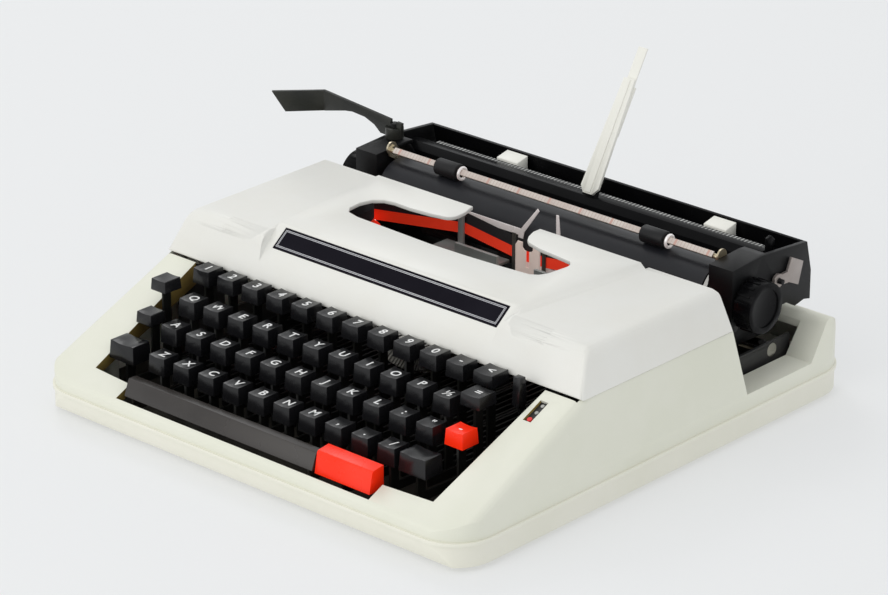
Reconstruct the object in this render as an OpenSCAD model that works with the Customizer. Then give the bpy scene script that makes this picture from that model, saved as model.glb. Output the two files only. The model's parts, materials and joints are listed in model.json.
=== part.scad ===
// Portable manual typewriter with front-strike typebars and a carriage on two rails.
// X runs to the right, Y to the back and Z up, all in millimetres.
// Shapes are drawn in the machine's own frame, whose zero is the middle of the front edge
// at the underside of the pan. place() moves them so that the box round the whole machine
// is centred on the origin and its feet stand on Z = 0.

/* [Case] */
// width of the case over the bead line
body_w = 318; // [290:1:350]
// depth of the case over the bead line
body_d = 331; // [300:1:360]
// corner radius of the case seen from above
corner_r = 26; // [15:1:40]
// height of the bead line over the underside of the pan
bead_z = 14; // [10:0.5:20]
// how far the foot of the pan is set back at the front
pan_undercut = 6.4; // [0:0.2:12]
// thickness of the moulded walls
wall = 2.6; // [2:0.1:4]
// height of the rubber feet
foot_h = 3; // [2:0.5:6]
// diameter of the rubber feet
foot_d = 16; // [10:1:24]
// shank diameter of the case screws
screw_d = 3; // [2.5:0.1:4]

/* [Keyboard surround] */
// height at which the surround's plane meets the front edge
deck_z0 = 19; // [15:0.5:25]
// rise of the surround for each millimetre to the back
deck_slope = 0.445; // [0.3:0.005:0.6]
// how far behind the front edge the ribbon cover begins
seam_y = 99; // [90:1:110]
// how far the side walls have leant in where they meet the cover
seam_inset = 4.7; // [2:0.1:8]
// rounding along both long edges of the surround
edge_r = 5; // [2:0.5:8]
// half width of the key well at its front
well_front_half = 126; // [110:1:135]
// half width of the key well at its back
well_rear_half = 130; // [115:1:138]
// front edge of the key well
well_front_y = 16.8; // [12:0.2:25]
// front edge of the notch for the space bar
notch_y = 4.5; // [3.5:0.1:8]
// left end of the notch for the space bar
notch_left = -97; // [-110:1:-80]
// right end of the notch for the space bar
notch_right = 92; // [80:1:110]

/* [Rear of the case] */
// height of the ledges at both sides, under the carriage
ledge_z = 23; // [18:0.5:30]
// depth at which the side walls are cut down to the ledges
ledge_y = 236; // [225:1:245]
// distance from the side walls to the bay that is open under the carriage
bay_inset = 15.3; // [10:0.1:20]
// depth of the middle of the hump along the rear
hump_y = 311.5; // [300:0.5:320]
// height of the centre of the hump's rounding
hump_z = 39.5; // [30:0.5:45]
// radius of the hump's rounding
hump_r = 5; // [3:0.5:8]

/* [Ribbon cover] */
// height of the top of the cover
cover_z = 88; // [80:0.5:100]
// how far the middle panel stands above the rest of the cover
panel_rise = 3; // [1:0.5:5]
// rounding between the front and the top of the cover
cover_r = 12; // [8:0.5:16]
// thickness of the cover
cover_t = 2.4; // [1.8:0.1:3]
// depth of the rear edge of the cover
cover_rear_y = 219; // [210:1:225]
// angle to which the cover's front leans back
cover_lean = 27.2; // [15:0.2:40]
// inward lean of the cover's sides
side_lean = 16.5; // [8:0.5:25]
// length of the badge plate
badge_len = 166; // [140:1:180]
// width of the badge plate
badge_wid = 14; // [10:0.5:18]
// front edge of the mouth over the type
mouth_front_y = 159; // [150:1:170]
// half width of the mouth
mouth_half = 72; // [60:1:85]

/* [Keys] */
// distance between neighbouring keys in a row
key_pitch = 19.05; // [18:0.05:20]
// middle of the first key of the number row
first_key_x = -112.9; // [-120:0.1:-105]
// depth of the four rows of keys, rear row first
row_y = [92.2, 71.4, 52.9, 34];
// height of the key tops in the four rows, rear row first
row_z = [67, 57.8, 49, 40.2];
// sideways step of the four rows in pitches, rear row first
row_step = [0, 0.5, 0.75, 1.25];
// number of keys in the four rows, rear row first
row_count = [11, 11, 11, 10];
// width of a key at its skirt
cap_base = 13.8; // [12:0.2:16]
// width of a key at its top
cap_top = 12.4; // [10:0.2:14]
// height of a key's skirt
cap_h = 10.5; // [8:0.5:14]
// thickness of the key levers
lever_t = 1.6; // [1.2:0.1:2.5]
// height of the key levers
lever_h = 5; // [4:0.5:7]
// depth of the rod that all key levers swing on
fulcrum_y = 214; // [205:1:225]
// height of the rod that all key levers swing on
fulcrum_z = 12; // [10:0.5:15]
// diameter of the fulcrum rod
fulcrum_d = 5; // [4:0.5:6]
// left end of the space bar
space_left = -94; // [-100:1:-85]
// joint between the black space bar and the red tabulator bar
space_right = 48; // [40:1:60]
// right end of the red tabulator bar
tab_right = 88; // [80:1:95]

/* [Type basket] */
// height of the line that is being typed
print_z = 66.8; // [60:0.2:75]
// depth of the pins that the typebars swing on
basket_y = 190; // [180:1:200]
// radius of the ring of pins round the line of type
basket_r = 38; // [34:0.5:45]
// number of typebars on each side of the middle one
bars_each_side = 21; // [15:1:22]
// angle between neighbouring typebars
bar_step = 3.2; // [3:0.1:4]
// reach of a typebar from its pin to the middle of the type
bar_reach = 59; // [50:0.2:70]
// thickness of a typebar
bar_t = 1; // [0.8:0.1:1.4]

/* [Ribbon] */
// height of the ribbon's lower edge at the spools
ribbon_z = 62; // [58:0.5:65]
// drop of the ribbon towards the middle, where the type strikes it
ribbon_drop = 4.5; // [0:0.5:8]
// width of the ribbon
ribbon_h = 13; // [12:0.5:13]
// thickness of the ribbon
ribbon_t = 0.3; // [0.2:0.1:0.5]
// distance of each spool from the middle
spool_x = 107; // [100:1:112]
// depth of the spools
spool_y = 196; // [185:1:200]
// radius of the wound ribbon
pack_r = 17; // [10:0.5:19]
// radius of the spool flanges
flange_r = 21; // [18:0.5:23]
// distance of the ribbon posts from the middle
post_x = 50; // [40:1:60]
// depth of the ribbon where it passes the platen
ribbon_y = 235.2; // [234:0.05:236]

/* [Carriage] */
// depth of the platen's axis
platen_y = 255; // [250:0.5:260]
// radius of the platen
platen_r = 17.5; // [15:0.5:20]
// half length of the platen's rubber
platen_half = 120; // [110:1:125]
// diameter of the platen's shaft
shaft_d = 8; // [6:0.5:10]
// inner face of the carriage's side plates
side_x = 138; // [132:0.5:142]
// thickness of the carriage's side plates
side_t = 2.5; // [2:0.1:4]
// inner face of the brackets that hold the platen
bracket_x = 124; // [121:0.5:128]
// radius of the platen knobs
knob_r = 14.5; // [12:0.5:17]
// outer face of the platen knobs
knob_out = 153.2; // [148:0.1:158]
// depth of the front rail
rail_front_y = 252; // [248:1:256]
// depth of the rear rail
rail_rear_y = 284; // [280:1:288]
// height of the rails
rail_z = 28; // [24:1:30]
// diameter of the rails
rail_d = 8; // [6:0.5:10]
// underside of the carriage bed
bed_z = 34; // [32:0.5:38]
// thickness of the carriage bed
bed_t = 2.5; // [2:0.1:4]
// radius of the feed rollers
feed_r = 6; // [5:0.5:7]

/* [Paper parts] */
// depth of the paper bail's axis
bail_y = 252; // [248:0.5:256]
// height of the paper bail's axis
bail_z = 89.3; // [85:0.1:95]
// diameter of the bail's bar
bail_d = 3; // [2:0.5:4]
// radius of the bail's rollers
bail_roller_r = 5; // [4:0.1:5.5]
// distance of the bail's rollers from the middle
bail_roller_x = 77; // [60:1:90]
// sideways place of the paper arm
arm_x = 1.8; // [-10:0.1:10]
// depth of the paper arm's pivot
arm_y = 286; // [282:0.5:290]
// height of the paper arm's pivot
arm_z = 91; // [88:0.5:95]
// angle to which the paper arm leans back
arm_lean = 31; // [20:1:40]
// length of the paper arm above its pivot
arm_len = 64; // [50:1:80]
// top of the sliding extension above the pivot
arm_tip = 83.5; // [70:0.5:100]

/* [Return lever] */
// sideways place of the lever's pivot
lever_x = -133; // [-136:0.5:-128]
// depth of the lever's pivot
lever_y = 266; // [260:1:272]
// sideways place of the bend in the lever
lever_bend_x = -190; // [-200:0.5:-170]
// length of the lever's finger plate beyond the bend
lever_tip_len = 31.4; // [20:0.2:40]
// angle by which the finger plate is bent to the front
lever_bend = 37; // [0:1:60]

/* [Hidden] */
$fn = 48;

// radial clearance of every part that turns or slides on another
run_gap = 0.05;
// radial clearance of a part that is fixed in another
fit_gap = 0.02;
// distance between faces that pass each other
air = 0.3;
// length that a cut runs past the faces it opens
past = 1;

deck_angle = atan(deck_slope);
seam_z = deck_z0 + deck_slope * seam_y;
shell_half = body_w / 2 - 1.2;
seam_half = body_w / 2 - seam_inset;
bay_half = seam_half - bay_inset;
screw_front_x = shell_half - 16.8;
screw_rear_x = shell_half - 9.8;
foot_x = shell_half - 32.8;
foot_rear_y = body_d - 28;
screw_rear_y = body_d - 66;
shell_front = 1.2;
shell_rear = body_d - 1.2;
lip_r = 5;

// slopes of the cut-down side wall and of the hump
cut_slope = 0.26;
hump_a0 = 143.3;
hump_a1 = 26.6;

cover_bottom = seam_z + air;
peg_x = seam_half - 8.3;
peg_d = 4;
slot_x = seam_half - 19.1;
slot_y = 85.5;

badge_angle = 38.1;
badge_y = 113.1;
badge_z = 80.7;
badge_t = 1;
gap_left = -20;
gap_right = 25;

lever_front_z = 15;
dish_r = 34;
dish_depth = 0.6;
stem_w = 6;
margin_key = [-121.9, 68, 66];
lock_key = [-121.5, 55.5, 50];
shift_left_key = [-115.8, 33.7, 40.4];
shift_right_key = [101.4, 34.2, 40.4];
back_key = [98.3, 92, 67.5];
function_key = [106.2, 73.3, 63.6];
clear_key = [110.95, 55, 50.4];
shift_wide = 19;
lock_pin_y = 110;
lock_pin_d = 3;
lock_pin_z = fulcrum_z + (lever_front_z - fulcrum_z) * (fulcrum_y - lock_pin_y) / 180;
lock_lever_x = -118.4;
link_y = 205;
link_z = 5.2;
link_d = 3;
space_arms = [-91.5, 41.9];
tab_arm = 65.7;

slug_t = 1.4;
pin_r = 2.2;
segment_in = 32;
segment_out = 43;
segment_span = 72;
slot_t = bar_t + 0.6;
guide_post_x = 46;
guide_post_d = 4;
guide_y = 233;
guide_t = 0.8;
bracket_front = 224;
bracket_top = 40;
cross_z = 18;
cross_h = 6;
cross_a_y = 198;
cross_b_y = 230.2;
cross_t = 6;

frame_x = 134;
frame_t = 2;
plate_t = 2;
spindle_d = 6;
spool_z = ribbon_z - 1.5;
spool_top = ribbon_z + ribbon_h + 0.5;
post_d = 4;
post_y = ribbon_y - post_d / 2 - 0.4;
shelf_z = 53;
guard_top = 61;
guard_half = [14, 46];
shelf_t = 1.6;
holder_y = cross_b_y + cross_t;
holder_t = 0.6;
vibrator_y = 234.05;
vibrator_t = 0.5;
selector_x = 119;
selector_y = 96;
selector_z = 34;

housing_front = 241;
housing_rear = 272;
housing_low = 56;
shaft_end = 150;
runner_in = 8;
runner_len = 22;
feed_y = platen_y + 8;
feed_z = print_z - sqrt(pow(platen_r + feed_r + 0.1, 2) - 64);
feed_rod_d = 4;
bail_pivot_y = 274;
bail_pivot_z = 74;
bail_arm_x = 121.5;
bail_arm_t = 1.2;
bail_pin_d = 3;
table_half = side_x;
table_low = 57;
table_t = 2.3;
rack_y = 290;
rack_t = 3.4;
rack_z = 78.5;
rack_h = 5.4;
stop_wid = 16;
stop_left_x = -69.6;
stop_right_x = 85.5;
drum_x = -98;
drum_y = 270;
drum_r = 20;
bell_x = 98;
bell_y = 272;
bell_r = 17;
paper_release_y = 283;
paper_release_z = 64;
release_y = 279;
release_z = 73;
lever_plate_t = 2;
lever_pin_d = 5;

// the box round the machine runs from the return lever's tip to the right side of the case
reach_left = lever_bend_x - lever_tip_len * cos(lever_bend) - lever_plate_t / 2 * sin(lever_bend);
centre_x = (reach_left + max(knob_out, body_w / 2)) / 2;
centre_y = body_d / 2;

function deck_height(y) = deck_z0 + deck_slope * y;
function key_x(row, i) = first_key_x + (row_step[row] + i) * key_pitch;
function arc(cy, cz, r, a0, a1, steps = 6) =
    [for (k = [0 : steps]) let (a = a0 + (a1 - a0) * k / steps) [cy + r * cos(a), cz + r * sin(a)]];

// side outline of the keyboard surround and the rear hump, set in by t
function shell_side(t) = let (
    lip_z = deck_height(shell_front + lip_r) - lip_r / cos(deck_angle),
    low_z = ledge_z - t,
    cut_top = ledge_y - cut_slope * (seam_z - ledge_z),
    foot_y = hump_y + (hump_r - t) * cos(hump_a0)
        - (hump_z + (hump_r - t) * sin(hump_a0) - low_z) * tan(180 - hump_a0)
) concat(
    [[shell_front + t, bead_z - (t > 0 ? past : 0)]],
    arc(shell_front + lip_r, lip_z, lip_r - t, 180, 90 + deck_angle),
    [[seam_y, seam_z - t / cos(deck_angle)]],
    [[cut_top - t, seam_z - t]],
    [[ledge_y - t, low_z]],
    [[foot_y, low_z]],
    arc(hump_y, hump_z, hump_r - t, hump_a0, hump_a1),
    [[shell_rear - t, bead_z - (t > 0 ? past : 0)]]
);

// side outline of the ribbon cover, set in by t; its top stands at the height top
function cover_side(t, top) = let (
    cz = top - cover_r,
    front_y = seam_y + 0.4,
    n = 180 - cover_lean,
    cy = front_y + (cover_r + (cz - cover_bottom) * sin(cover_lean)) / cos(cover_lean),
    low = cover_bottom - (t > 0 ? past : 0),
    foot_y = cy + (cover_r - t) * cos(n) - (cz + (cover_r - t) * sin(n) - low) * tan(cover_lean)
) concat(
    [[foot_y, low]],
    arc(cy, cz, cover_r - t, n, 90),
    t > 0
        ? [[cover_rear_y + 4 * past, top - t], [cover_rear_y + 20, low]]
        : [[cover_rear_y, top - 0.6], [cover_rear_y + 2, top - 3],
           [ledge_y - cut_slope * (cover_bottom - ledge_z), low]]
);

// cross outline of the cover, set in by t
function cover_cross(t, top) = let (
    r = 8,
    cz = top - r,
    cx = seam_half - (cz - seam_z) * tan(side_lean) - r / cos(side_lean),
    low = cover_bottom - (t > 0 ? past : 0),
    foot = seam_half - (low - seam_z) * tan(side_lean) - t / cos(side_lean),
    right = concat([[foot, low]], arc(cx, cz, r - t, side_lean, 90))
) concat(right, [for (k = [len(right) - 1 : -1 : 0]) [-right[k][0], right[k][1]]]);

// outline of the key well seen from above, grown by g
function well_outline(g) = [
    [-well_rear_half - g, seam_y + 5],
    [-well_rear_half - g, seam_y],
    [-well_front_half - g, well_front_y - g],
    [notch_left - g, well_front_y - 1.6 - g],
    [notch_left - g, notch_y - g],
    [notch_right + g, notch_y - g],
    [notch_right + g, well_front_y - 1.6 - g],
    [well_front_half + g, well_front_y - g],
    [well_rear_half + g, seam_y],
    [well_rear_half + g, seam_y + 5]
];

module place() {
    translate([-centre_x, -centre_y, foot_h]) children();
}

// extrudes an outline of (y, z) along X
module along_x(x0, x1) {
    translate([x0, 0, 0]) rotate([90, 0, 90]) linear_extrude(x1 - x0) children();
}

// extrudes an outline of (x, z) along Y
module along_y(y0, y1) {
    translate([0, y1, 0]) rotate([90, 0, 0]) linear_extrude(y1 - y0) children();
}

// a round bar along X
module bar_x(x0, x1, y, z, d) {
    translate([x0, y, z]) rotate([0, 90, 0]) cylinder(d = d, h = x1 - x0);
}

// a block given by its two far corners
module block(low, high) {
    translate(low) cube(high - low);
}

// children and their mirror image at the other side
module both_sides() {
    children();
    mirror([1, 0, 0]) children();
}

module rounded_plan(half, y0, y1, r) {
    translate([-half + r, y0]) square([2 * (half - r), y1 - y0]);
    translate([-half, y0 + r]) square([2 * half, y1 - y0 - 2 * r]);
    for (x = [-half + r, half - r], y = [y0 + r, y1 - r]) translate([x, y]) circle(r);
}

module at_screws() {
    for (x = [-screw_front_x, screw_front_x]) translate([x, 42, 0]) children();
    for (x = [-screw_rear_x, screw_rear_x]) translate([x, screw_rear_y, 0]) children();
}

module at_feet() {
    for (x = [-foot_x, foot_x], y = [28, foot_rear_y]) translate([x, y, 0]) children();
}

module base_pan() color([0.85, 0.84, 0.78]) place() difference() {
    intersection() {
        union() {
            linear_extrude(bead_z) rounded_plan(body_w / 2 - 1, 1, body_d - 1, corner_r - 1);
            translate([0, 0, bead_z - 2]) linear_extrude(2) rounded_plan(body_w / 2, 0, body_d, corner_r);
        }
        along_x(-body_w, body_w) polygon([[pan_undercut, 0], [-0.5, bead_z - 1], [-0.5, bead_z],
            [body_d + 1, bead_z], [body_d + 1, bead_z - 1], [body_d - 3, 0]]);
    }
    translate([0, 0, wall]) linear_extrude(bead_z)
        rounded_plan(body_w / 2 - wall - 1, pan_undercut + wall, body_d - wall - 2, corner_r - wall - 1);
    at_screws() {
        translate([0, 0, -past]) cylinder(d = screw_d + 0.4, h = wall + 2 * past);
        translate([0, 0, -past]) cylinder(d = 2 * screw_d + 1, h = past + 1.6);
    }
    at_feet() translate([0, 0, -past]) cylinder(d = 6 + 2 * fit_gap, h = wall + 2 * past);
}

module rubber_feet() color([0.1, 0.1, 0.1]) place() at_feet() {
    translate([0, 0, -foot_h]) cylinder(d = foot_d, h = foot_h);
    cylinder(d = 6, h = wall + 1.4);
}

// everything under the surround's plane and inside its sides, with the long edges rounded
module edge_rounding(t) {
    edge_turn = atan((shell_half - seam_half) / norm([seam_y, seam_z - bead_z]));
    tilt = atan((shell_half - seam_half) / (seam_z - bead_z));
    r = edge_r - t;
    intersection_for (s = [0, 1]) mirror([s, 0, 0])
        translate([shell_half - 0.45, 0, deck_z0]) rotate([deck_angle, 0, 0]) rotate([0, 0, edge_turn])
            translate([-t, -60, -t]) rotate([90, 0, 180]) mirror([1, 0, 0]) linear_extrude(2 * body_d)
                polygon(concat([[-400, -200], [tan(tilt) * 200, -200]],
                    arc(-r * (1 - sin(tilt)) / cos(tilt), -r, r, tilt, 90, 6), [[-400, 0]]));
}

module shell_solid(t) intersection() {
    along_x(-body_w / 2, body_w / 2) polygon(shell_side(t));
    along_y(0, body_d) polygon([
        [-shell_half + t, bead_z], [-seam_half + t, seam_z],
        [-seam_half + t, seam_z + past], [seam_half - t, seam_z + past],
        [seam_half - t, seam_z], [shell_half - t, bead_z],
        [shell_half - t, bead_z - past], [-shell_half + t, bead_z - past]]);
    edge_rounding(t);
    linear_extrude(2 * seam_z)
        rounded_plan(shell_half - t, shell_front + t, shell_rear - t, corner_r - 1.2 - t);
}

// lip that hangs below the edge of the key well
module well_skirt() intersection() {
    difference() {
        linear_extrude(seam_z) polygon(well_outline(2));
        translate([0, 0, -past]) linear_extrude(seam_z + 2 * past) polygon(well_outline(0));
    }
    along_x(-seam_half, seam_half) polygon([[2, deck_height(2) - 0.4], [2, bead_z + 1],
        [seam_y, 50], [seam_y, seam_z - 0.4]]);
}

module at_pegs() for (y = [118, 208]) translate([peg_x, y, 0]) children();

module peg_socket() difference() {
    block([-4, -5, seam_z - 9], [seam_half - peg_x - 1, 5, seam_z - 3]);
    translate([0, 0, seam_z - 10]) cylinder(d = peg_d + 2 * run_gap, h = 8);
}

module body_shell() color([0.91, 0.9, 0.85]) place() {
    difference() {
        union() {
            difference() {
                shell_solid(0);
                shell_solid(wall);
            }
            intersection() {
                well_skirt();
                shell_solid(0);
            }
        }
        linear_extrude(2 * seam_z) polygon(well_outline(0));
        block([wall - seam_half, seam_y, bead_z], [seam_half - wall, 222, 2 * seam_z]);
        block([-bay_half, 220, 0], [bay_half, 305.5, 2 * seam_z]);
        translate([slot_x, slot_y, deck_height(slot_y)]) rotate([deck_angle, 0, 0])
            cube([5.4, 15.5, 12], center = true);
    }
    both_sides() at_pegs() peg_socket();
    difference() {
        union() {
            at_screws() translate([0, 0, wall]) cylinder(d = 9, h = bead_z);
            intersection() {
                at_screws() cylinder(d = 9, h = 60);
                shell_solid(1);
            }
        }
        at_screws() translate([0, 0, -past]) cylinder(d = screw_d + 2 * fit_gap, h = 16);
    }
}

module case_screws() color([0.6, 0.6, 0.6]) place() at_screws() {
    translate([0, 0, 0.2]) cylinder(d = 2 * screw_d, h = 1.4);
    translate([0, 0, 0.2]) cylinder(d = screw_d, h = 14);
}

// extrudes an outline of (x, y) between two heights
module along_z(z0, z1) {
    translate([0, 0, z0]) linear_extrude(z1 - z0) children();
}

module frame_side() difference() {
    along_x(frame_x, frame_x + frame_t) polygon([[90, 28], [110, 4], [300, 4], [300, 33],
        [238, 33], [230, spool_z - 3], [112, spool_z - 3], [90, 40]]);
    along_x(frame_x - past, frame_x + frame_t + past) polygon([[125, 24], [195, 24], [195, 46], [125, 46]]);
    for (y = [rail_front_y, rail_rear_y])
        bar_x(frame_x - past, frame_x + frame_t + past, y, rail_z, rail_d + 2 * fit_gap);
}

module main_frame() color([0.45, 0.45, 0.46]) place() {
    both_sides() {
        frame_side();
        block([spool_x - flange_r - 3, spool_y - flange_r, spool_z - 3 - plate_t],
            [frame_x + frame_t, spool_y + flange_r, spool_z - 3]);
        translate([spool_x, spool_y, spool_z - 3]) cylinder(d = spindle_d, h = spool_top - spool_z + 5);
        translate([spool_x, spool_y, spool_z - 3]) cylinder(d = spindle_d + 4, h = 3 - air);
        block([post_x - 34, bracket_front - 5, shelf_z], [post_x + 14, post_y + 3.2, shelf_z + shelf_t]);
        block([post_x + 8, bracket_front, cross_z], [post_x + 10, cross_b_y, shelf_z + 1]);
        block([guard_half[0], bracket_front - 1.6, cross_z], [guard_half[1], bracket_front + 0.6, guard_top]);
        translate([post_x, post_y, shelf_z]) cylinder(d = post_d, h = spool_top + 1.5 - shelf_z);
        translate([post_x, post_y, spool_top + 0.5]) cylinder(d = post_d + 1.4, h = 1);
        translate([guide_post_x, cross_a_y, cross_z]) cylinder(d = guide_post_d, h = 38);
    }
    bar_x(-frame_x - 1, frame_x + 1, fulcrum_y, fulcrum_z, fulcrum_d);
    bar_x(selector_x - 3, frame_x + 1, selector_y, selector_z, 3);
    block([-frame_x - 1, cross_a_y - cross_t / 2, cross_z],
        [frame_x + 1, cross_a_y + cross_t / 2, cross_z + cross_h]);
    block([-frame_x - 1, cross_b_y - cross_t, cross_z], [frame_x + 1, cross_b_y, cross_z + cross_h]);
    difference() {
        block([-13, bracket_front, cross_z], [13, holder_y, bracket_top]);
        block([-4 - run_gap, vibrator_y - run_gap, cross_z + cross_h],
            [4 + run_gap, vibrator_y + vibrator_t + run_gap, bracket_top + past]);
    }
    block([-frame_x - 1, 258, 3.2], [frame_x + 1, 280, 5.2]);
    translate([drum_x, drum_y, 5]) cylinder(d = 8, h = 17);
    translate([bell_x, bell_y, 5]) cylinder(d = 4, h = 14);
}

module carriage_rails() color([0.75, 0.75, 0.75]) place()
    for (y = [rail_front_y, rail_rear_y]) bar_x(-frame_x - 2, frame_x + 2, y, rail_z, rail_d);

// moves children to the pin of the typebar at the angle a round the line of type
module at_bar(a) {
    translate([0, 0, print_z]) rotate([0, a, 0]) translate([0, basket_y, -basket_r]) children();
}

bar_angles = [for (k = [-bars_each_side : bars_each_side]) k * bar_step];
wire_d = 1.6;
strike_angle = 137.9;
strike_rise = basket_r;
strike_reach = ribbon_y - 0.7 - basket_y;

module typebar() {
    along_x(-bar_t / 2, bar_t / 2) difference() {
        union() {
            polygon([[4 - bar_reach, -1.2], [4 - bar_reach, 1.2], [0, 1.8], [0, -1.8]]);
            circle(pin_r);
            polygon([[-4.3, -1.1], [-12, -1.1], [-9.4, -5], [-6.2, -5.4]]);
        }
        circle(d = wire_d + 2 * run_gap);
    }
    rotate([strike_angle, 0, 0]) translate([0, strike_reach, strike_rise])
        block([-slug_t / 2, -3.2, -4], [slug_t / 2, 0, 4]);
}

module type_segment() color([0.55, 0.55, 0.55]) place() {
    difference() {
        intersection() {
            along_y(basket_y - 4, basket_y + 4) translate([0, print_z]) difference() {
                circle(segment_out);
                circle(segment_in);
            }
            along_y(basket_y - 5, basket_y + 5) polygon([[0, print_z],
                [-60, print_z - 60 / tan(segment_span)], [-60, 0], [60, 0],
                [60, print_z - 60 / tan(segment_span)]]);
        }
        for (a = bar_angles) at_bar(a)
            block([-slot_t / 2, -5, -3.4], [slot_t / 2, 5, basket_r - segment_in + past]);
    }
    translate([0, basket_y, print_z]) rotate([90, 0, 0]) rotate([0, 0, -90 - segment_span])
        rotate_extrude(angle = 2 * segment_span) translate([basket_r, 0]) circle(d = wire_d);
    both_sides() difference() {
        block([36, basket_y + 3, 46], [guide_post_x + 5, cross_a_y + 4, 52]);
        translate([guide_post_x, cross_a_y, 45]) cylinder(d = guide_post_d + 2 * run_gap, h = 8);
    }
}

module typebars() color([0.6, 0.6, 0.6]) place()
    for (a = bar_angles) if (a != 0) at_bar(a) typebar();

module typebar_h() color([0.65, 0.65, 0.65]) place() at_bar(0) typebar();

// plate behind the struck type, with a notch that leads each typebar to the middle
module type_guide() color([0.62, 0.55, 0.52]) place() {
    difference() {
        along_y(guide_y, guide_y + guide_t) polygon([[-9.2, bracket_top], [9.2, bracket_top], [9.2, 67],
            [7.5, 69.6], [3.9, 69.6], [3.9, 66.5], [2.4, 65], [-2.4, 65], [-3.9, 66.5], [-3.9, 69.6],
            [-7.5, 69.6], [-9.2, 67]]);
        block([-1.2, guide_y - past, 55], [1.2, guide_y + guide_t + past, 66]);
    }
    block([-9.2, guide_y - 5, bracket_top], [9.2, guide_y + 0.1, bracket_top + 1]);
}

module card_holder() color([0.7, 0.66, 0.64]) place() {
    block([-13, holder_y, 30], [21, holder_y + holder_t, 57]);
    along_y(holder_y, holder_y + holder_t) {
        polygon([[-13, 56], [-9.4, 56], [-5.6, 74], [5.6, 89.6], [4.4, 91], [-8, 75.6], [-58, 75.6],
            [-60, 74.6], [-60, 71.6], [-9.8, 71.6]]);
        polygon([[17.4, 56], [21, 56], [21.4, 71.6], [56, 71.6], [56, 75.6], [21.4, 75.6], [21, 82], [20, 91],
            [18.2, 91], [18.4, 78]]);
    }
}

module ribbon_vibrator() color([0.3, 0.3, 0.3]) place() {
    block([-4, vibrator_y, 25], [4, vibrator_y + vibrator_t, 43]);
    block([-12.6, vibrator_y, 42], [12.6, vibrator_y + vibrator_t, 46]);
    both_sides() block([9.8, vibrator_y, 42], [12.6, vibrator_y + vibrator_t, 73]);
}

// the ribbon leaves the back of each spool, passes behind the post and crosses the platen
pack_reach = pack_r + 0.2;
post_reach = post_d / 2 + 0.25;
post_way = [spool_x - post_x, post_y - spool_y];
leave_angle = atan2(post_way[1], post_way[0]) - asin((pack_reach - post_reach) / norm(post_way));
leave_side = [-sin(leave_angle), cos(leave_angle)];
ribbon_flat = 11.2;
ribbon_side = [
    [-spool_x, spool_y] + pack_reach * leave_side,
    [-post_x, post_y] + post_reach * leave_side,
    [-post_x + 1.2, ribbon_y - 0.02]
];

module ribbon() color([0.75, 0.1, 0.08]) place() {
    both_sides() along_z(ribbon_z, ribbon_z + ribbon_h)
        for (i = [0 : len(ribbon_side) - 2]) let (
            a = ribbon_side[i], b = ribbon_side[i + 1],
            d = (b - a) / norm(b - a), n = [-d[1], d[0]] * ribbon_t / 2, e = d * 0.02
        ) polygon([a - e + n, b + e + n, b + e - n, a - e - n]);
    along_y(ribbon_y - ribbon_t / 2, ribbon_y + ribbon_t / 2) let (
        far = post_x - 1.5, low = ribbon_z - 0.1, mid = ribbon_z - ribbon_drop,
        top = ribbon_z + ribbon_h + 0.1, h = ribbon_h
    ) polygon([[-far, low], [-ribbon_flat, mid], [ribbon_flat, mid], [far, low],
        [far, top], [ribbon_flat, mid + h], [-ribbon_flat, mid + h], [-far, top]]);
}

module spool() difference() {
    union() {
        translate([0, 0, spool_z]) cylinder(r = flange_r, h = 1);
        translate([0, 0, spool_z]) cylinder(r = pack_r, h = spool_top - spool_z);
        translate([0, 0, spool_top - 0.5]) cylinder(r = 9, h = 2);
    }
    translate([0, 0, spool_z - past]) cylinder(d = spindle_d + 2 * run_gap, h = 30);
}

module ribbon_spool_left() color([0.3, 0.1, 0.1]) place() translate([-spool_x, spool_y, 0]) spool();

module ribbon_spool_right() color([0.3, 0.1, 0.1]) place() translate([spool_x, spool_y, 0]) spool();

module ribbon_selector() color([0.1, 0.1, 0.1]) place() difference() {
    union() {
        bar_x(selector_x - 1.5, selector_x + 1.5, selector_y, selector_z, 9);
        along_x(selector_x - 0.8, selector_x + 0.8) polygon([[selector_y - 3, selector_z],
            [selector_y + 3, selector_z], [93, 62], [89, 62]]);
        along_x(selector_x - 2.4, selector_x + 2.4) polygon([[87.6, 54], [94.4, 54], [93, 70], [89, 70]]);
    }
    bar_x(selector_x - 4, selector_x + 4, selector_y, selector_z, 3 + 2 * run_gap);
}

// outline of the mouth over the type, seen from above: a lens with a gap to the platen
module mouth() {
    polygon(concat(
        [[-62, mouth_front_y + 0.8], [-mouth_half + 1, mouth_front_y + 3], [-mouth_half - 3, mouth_front_y + 8],
         [-mouth_half - 4, 176], [-mouth_half - 2, 184], [-mouth_half + 3, 188.6]],
        [[-62, 190], [-50, 189.6], [-36, 191], [-30, 192.3]],
        arc(gap_left - 8.4, 199, 6.4, -78, 5, 4),
        [[gap_left - 2.6, 206], [gap_left - 5, 213], [gap_left - 5.4, 240], [gap_right, 240]],
        [[gap_right, 209], [gap_right + 2.5, 202.3]],
        [[gap_right + 5.4, 198], [33.5, 195.6], [44.2, 192.8], [60, 191]],
        arc(mouth_half - 8, 183, 8, 60, -12, 4),
        [[mouth_half - 1.6, 169], [mouth_half - 4, 164.4], [mouth_half - 8, mouth_front_y + 2.6]],
        [[46, mouth_front_y + 0.8], [20, mouth_front_y - 0.8], [-5, mouth_front_y - 1.4],
         [-37, mouth_front_y - 0.4]]
    ));
}

panel_top = cover_z + panel_rise;
panel_front_half = 86.6;
panel_rear_half = 98;
bevel_low = badge_len / 2 + 1.6;
bevel_high = badge_len / 2 + 9;
badge_run = [cos(badge_angle), sin(badge_angle)];

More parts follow.
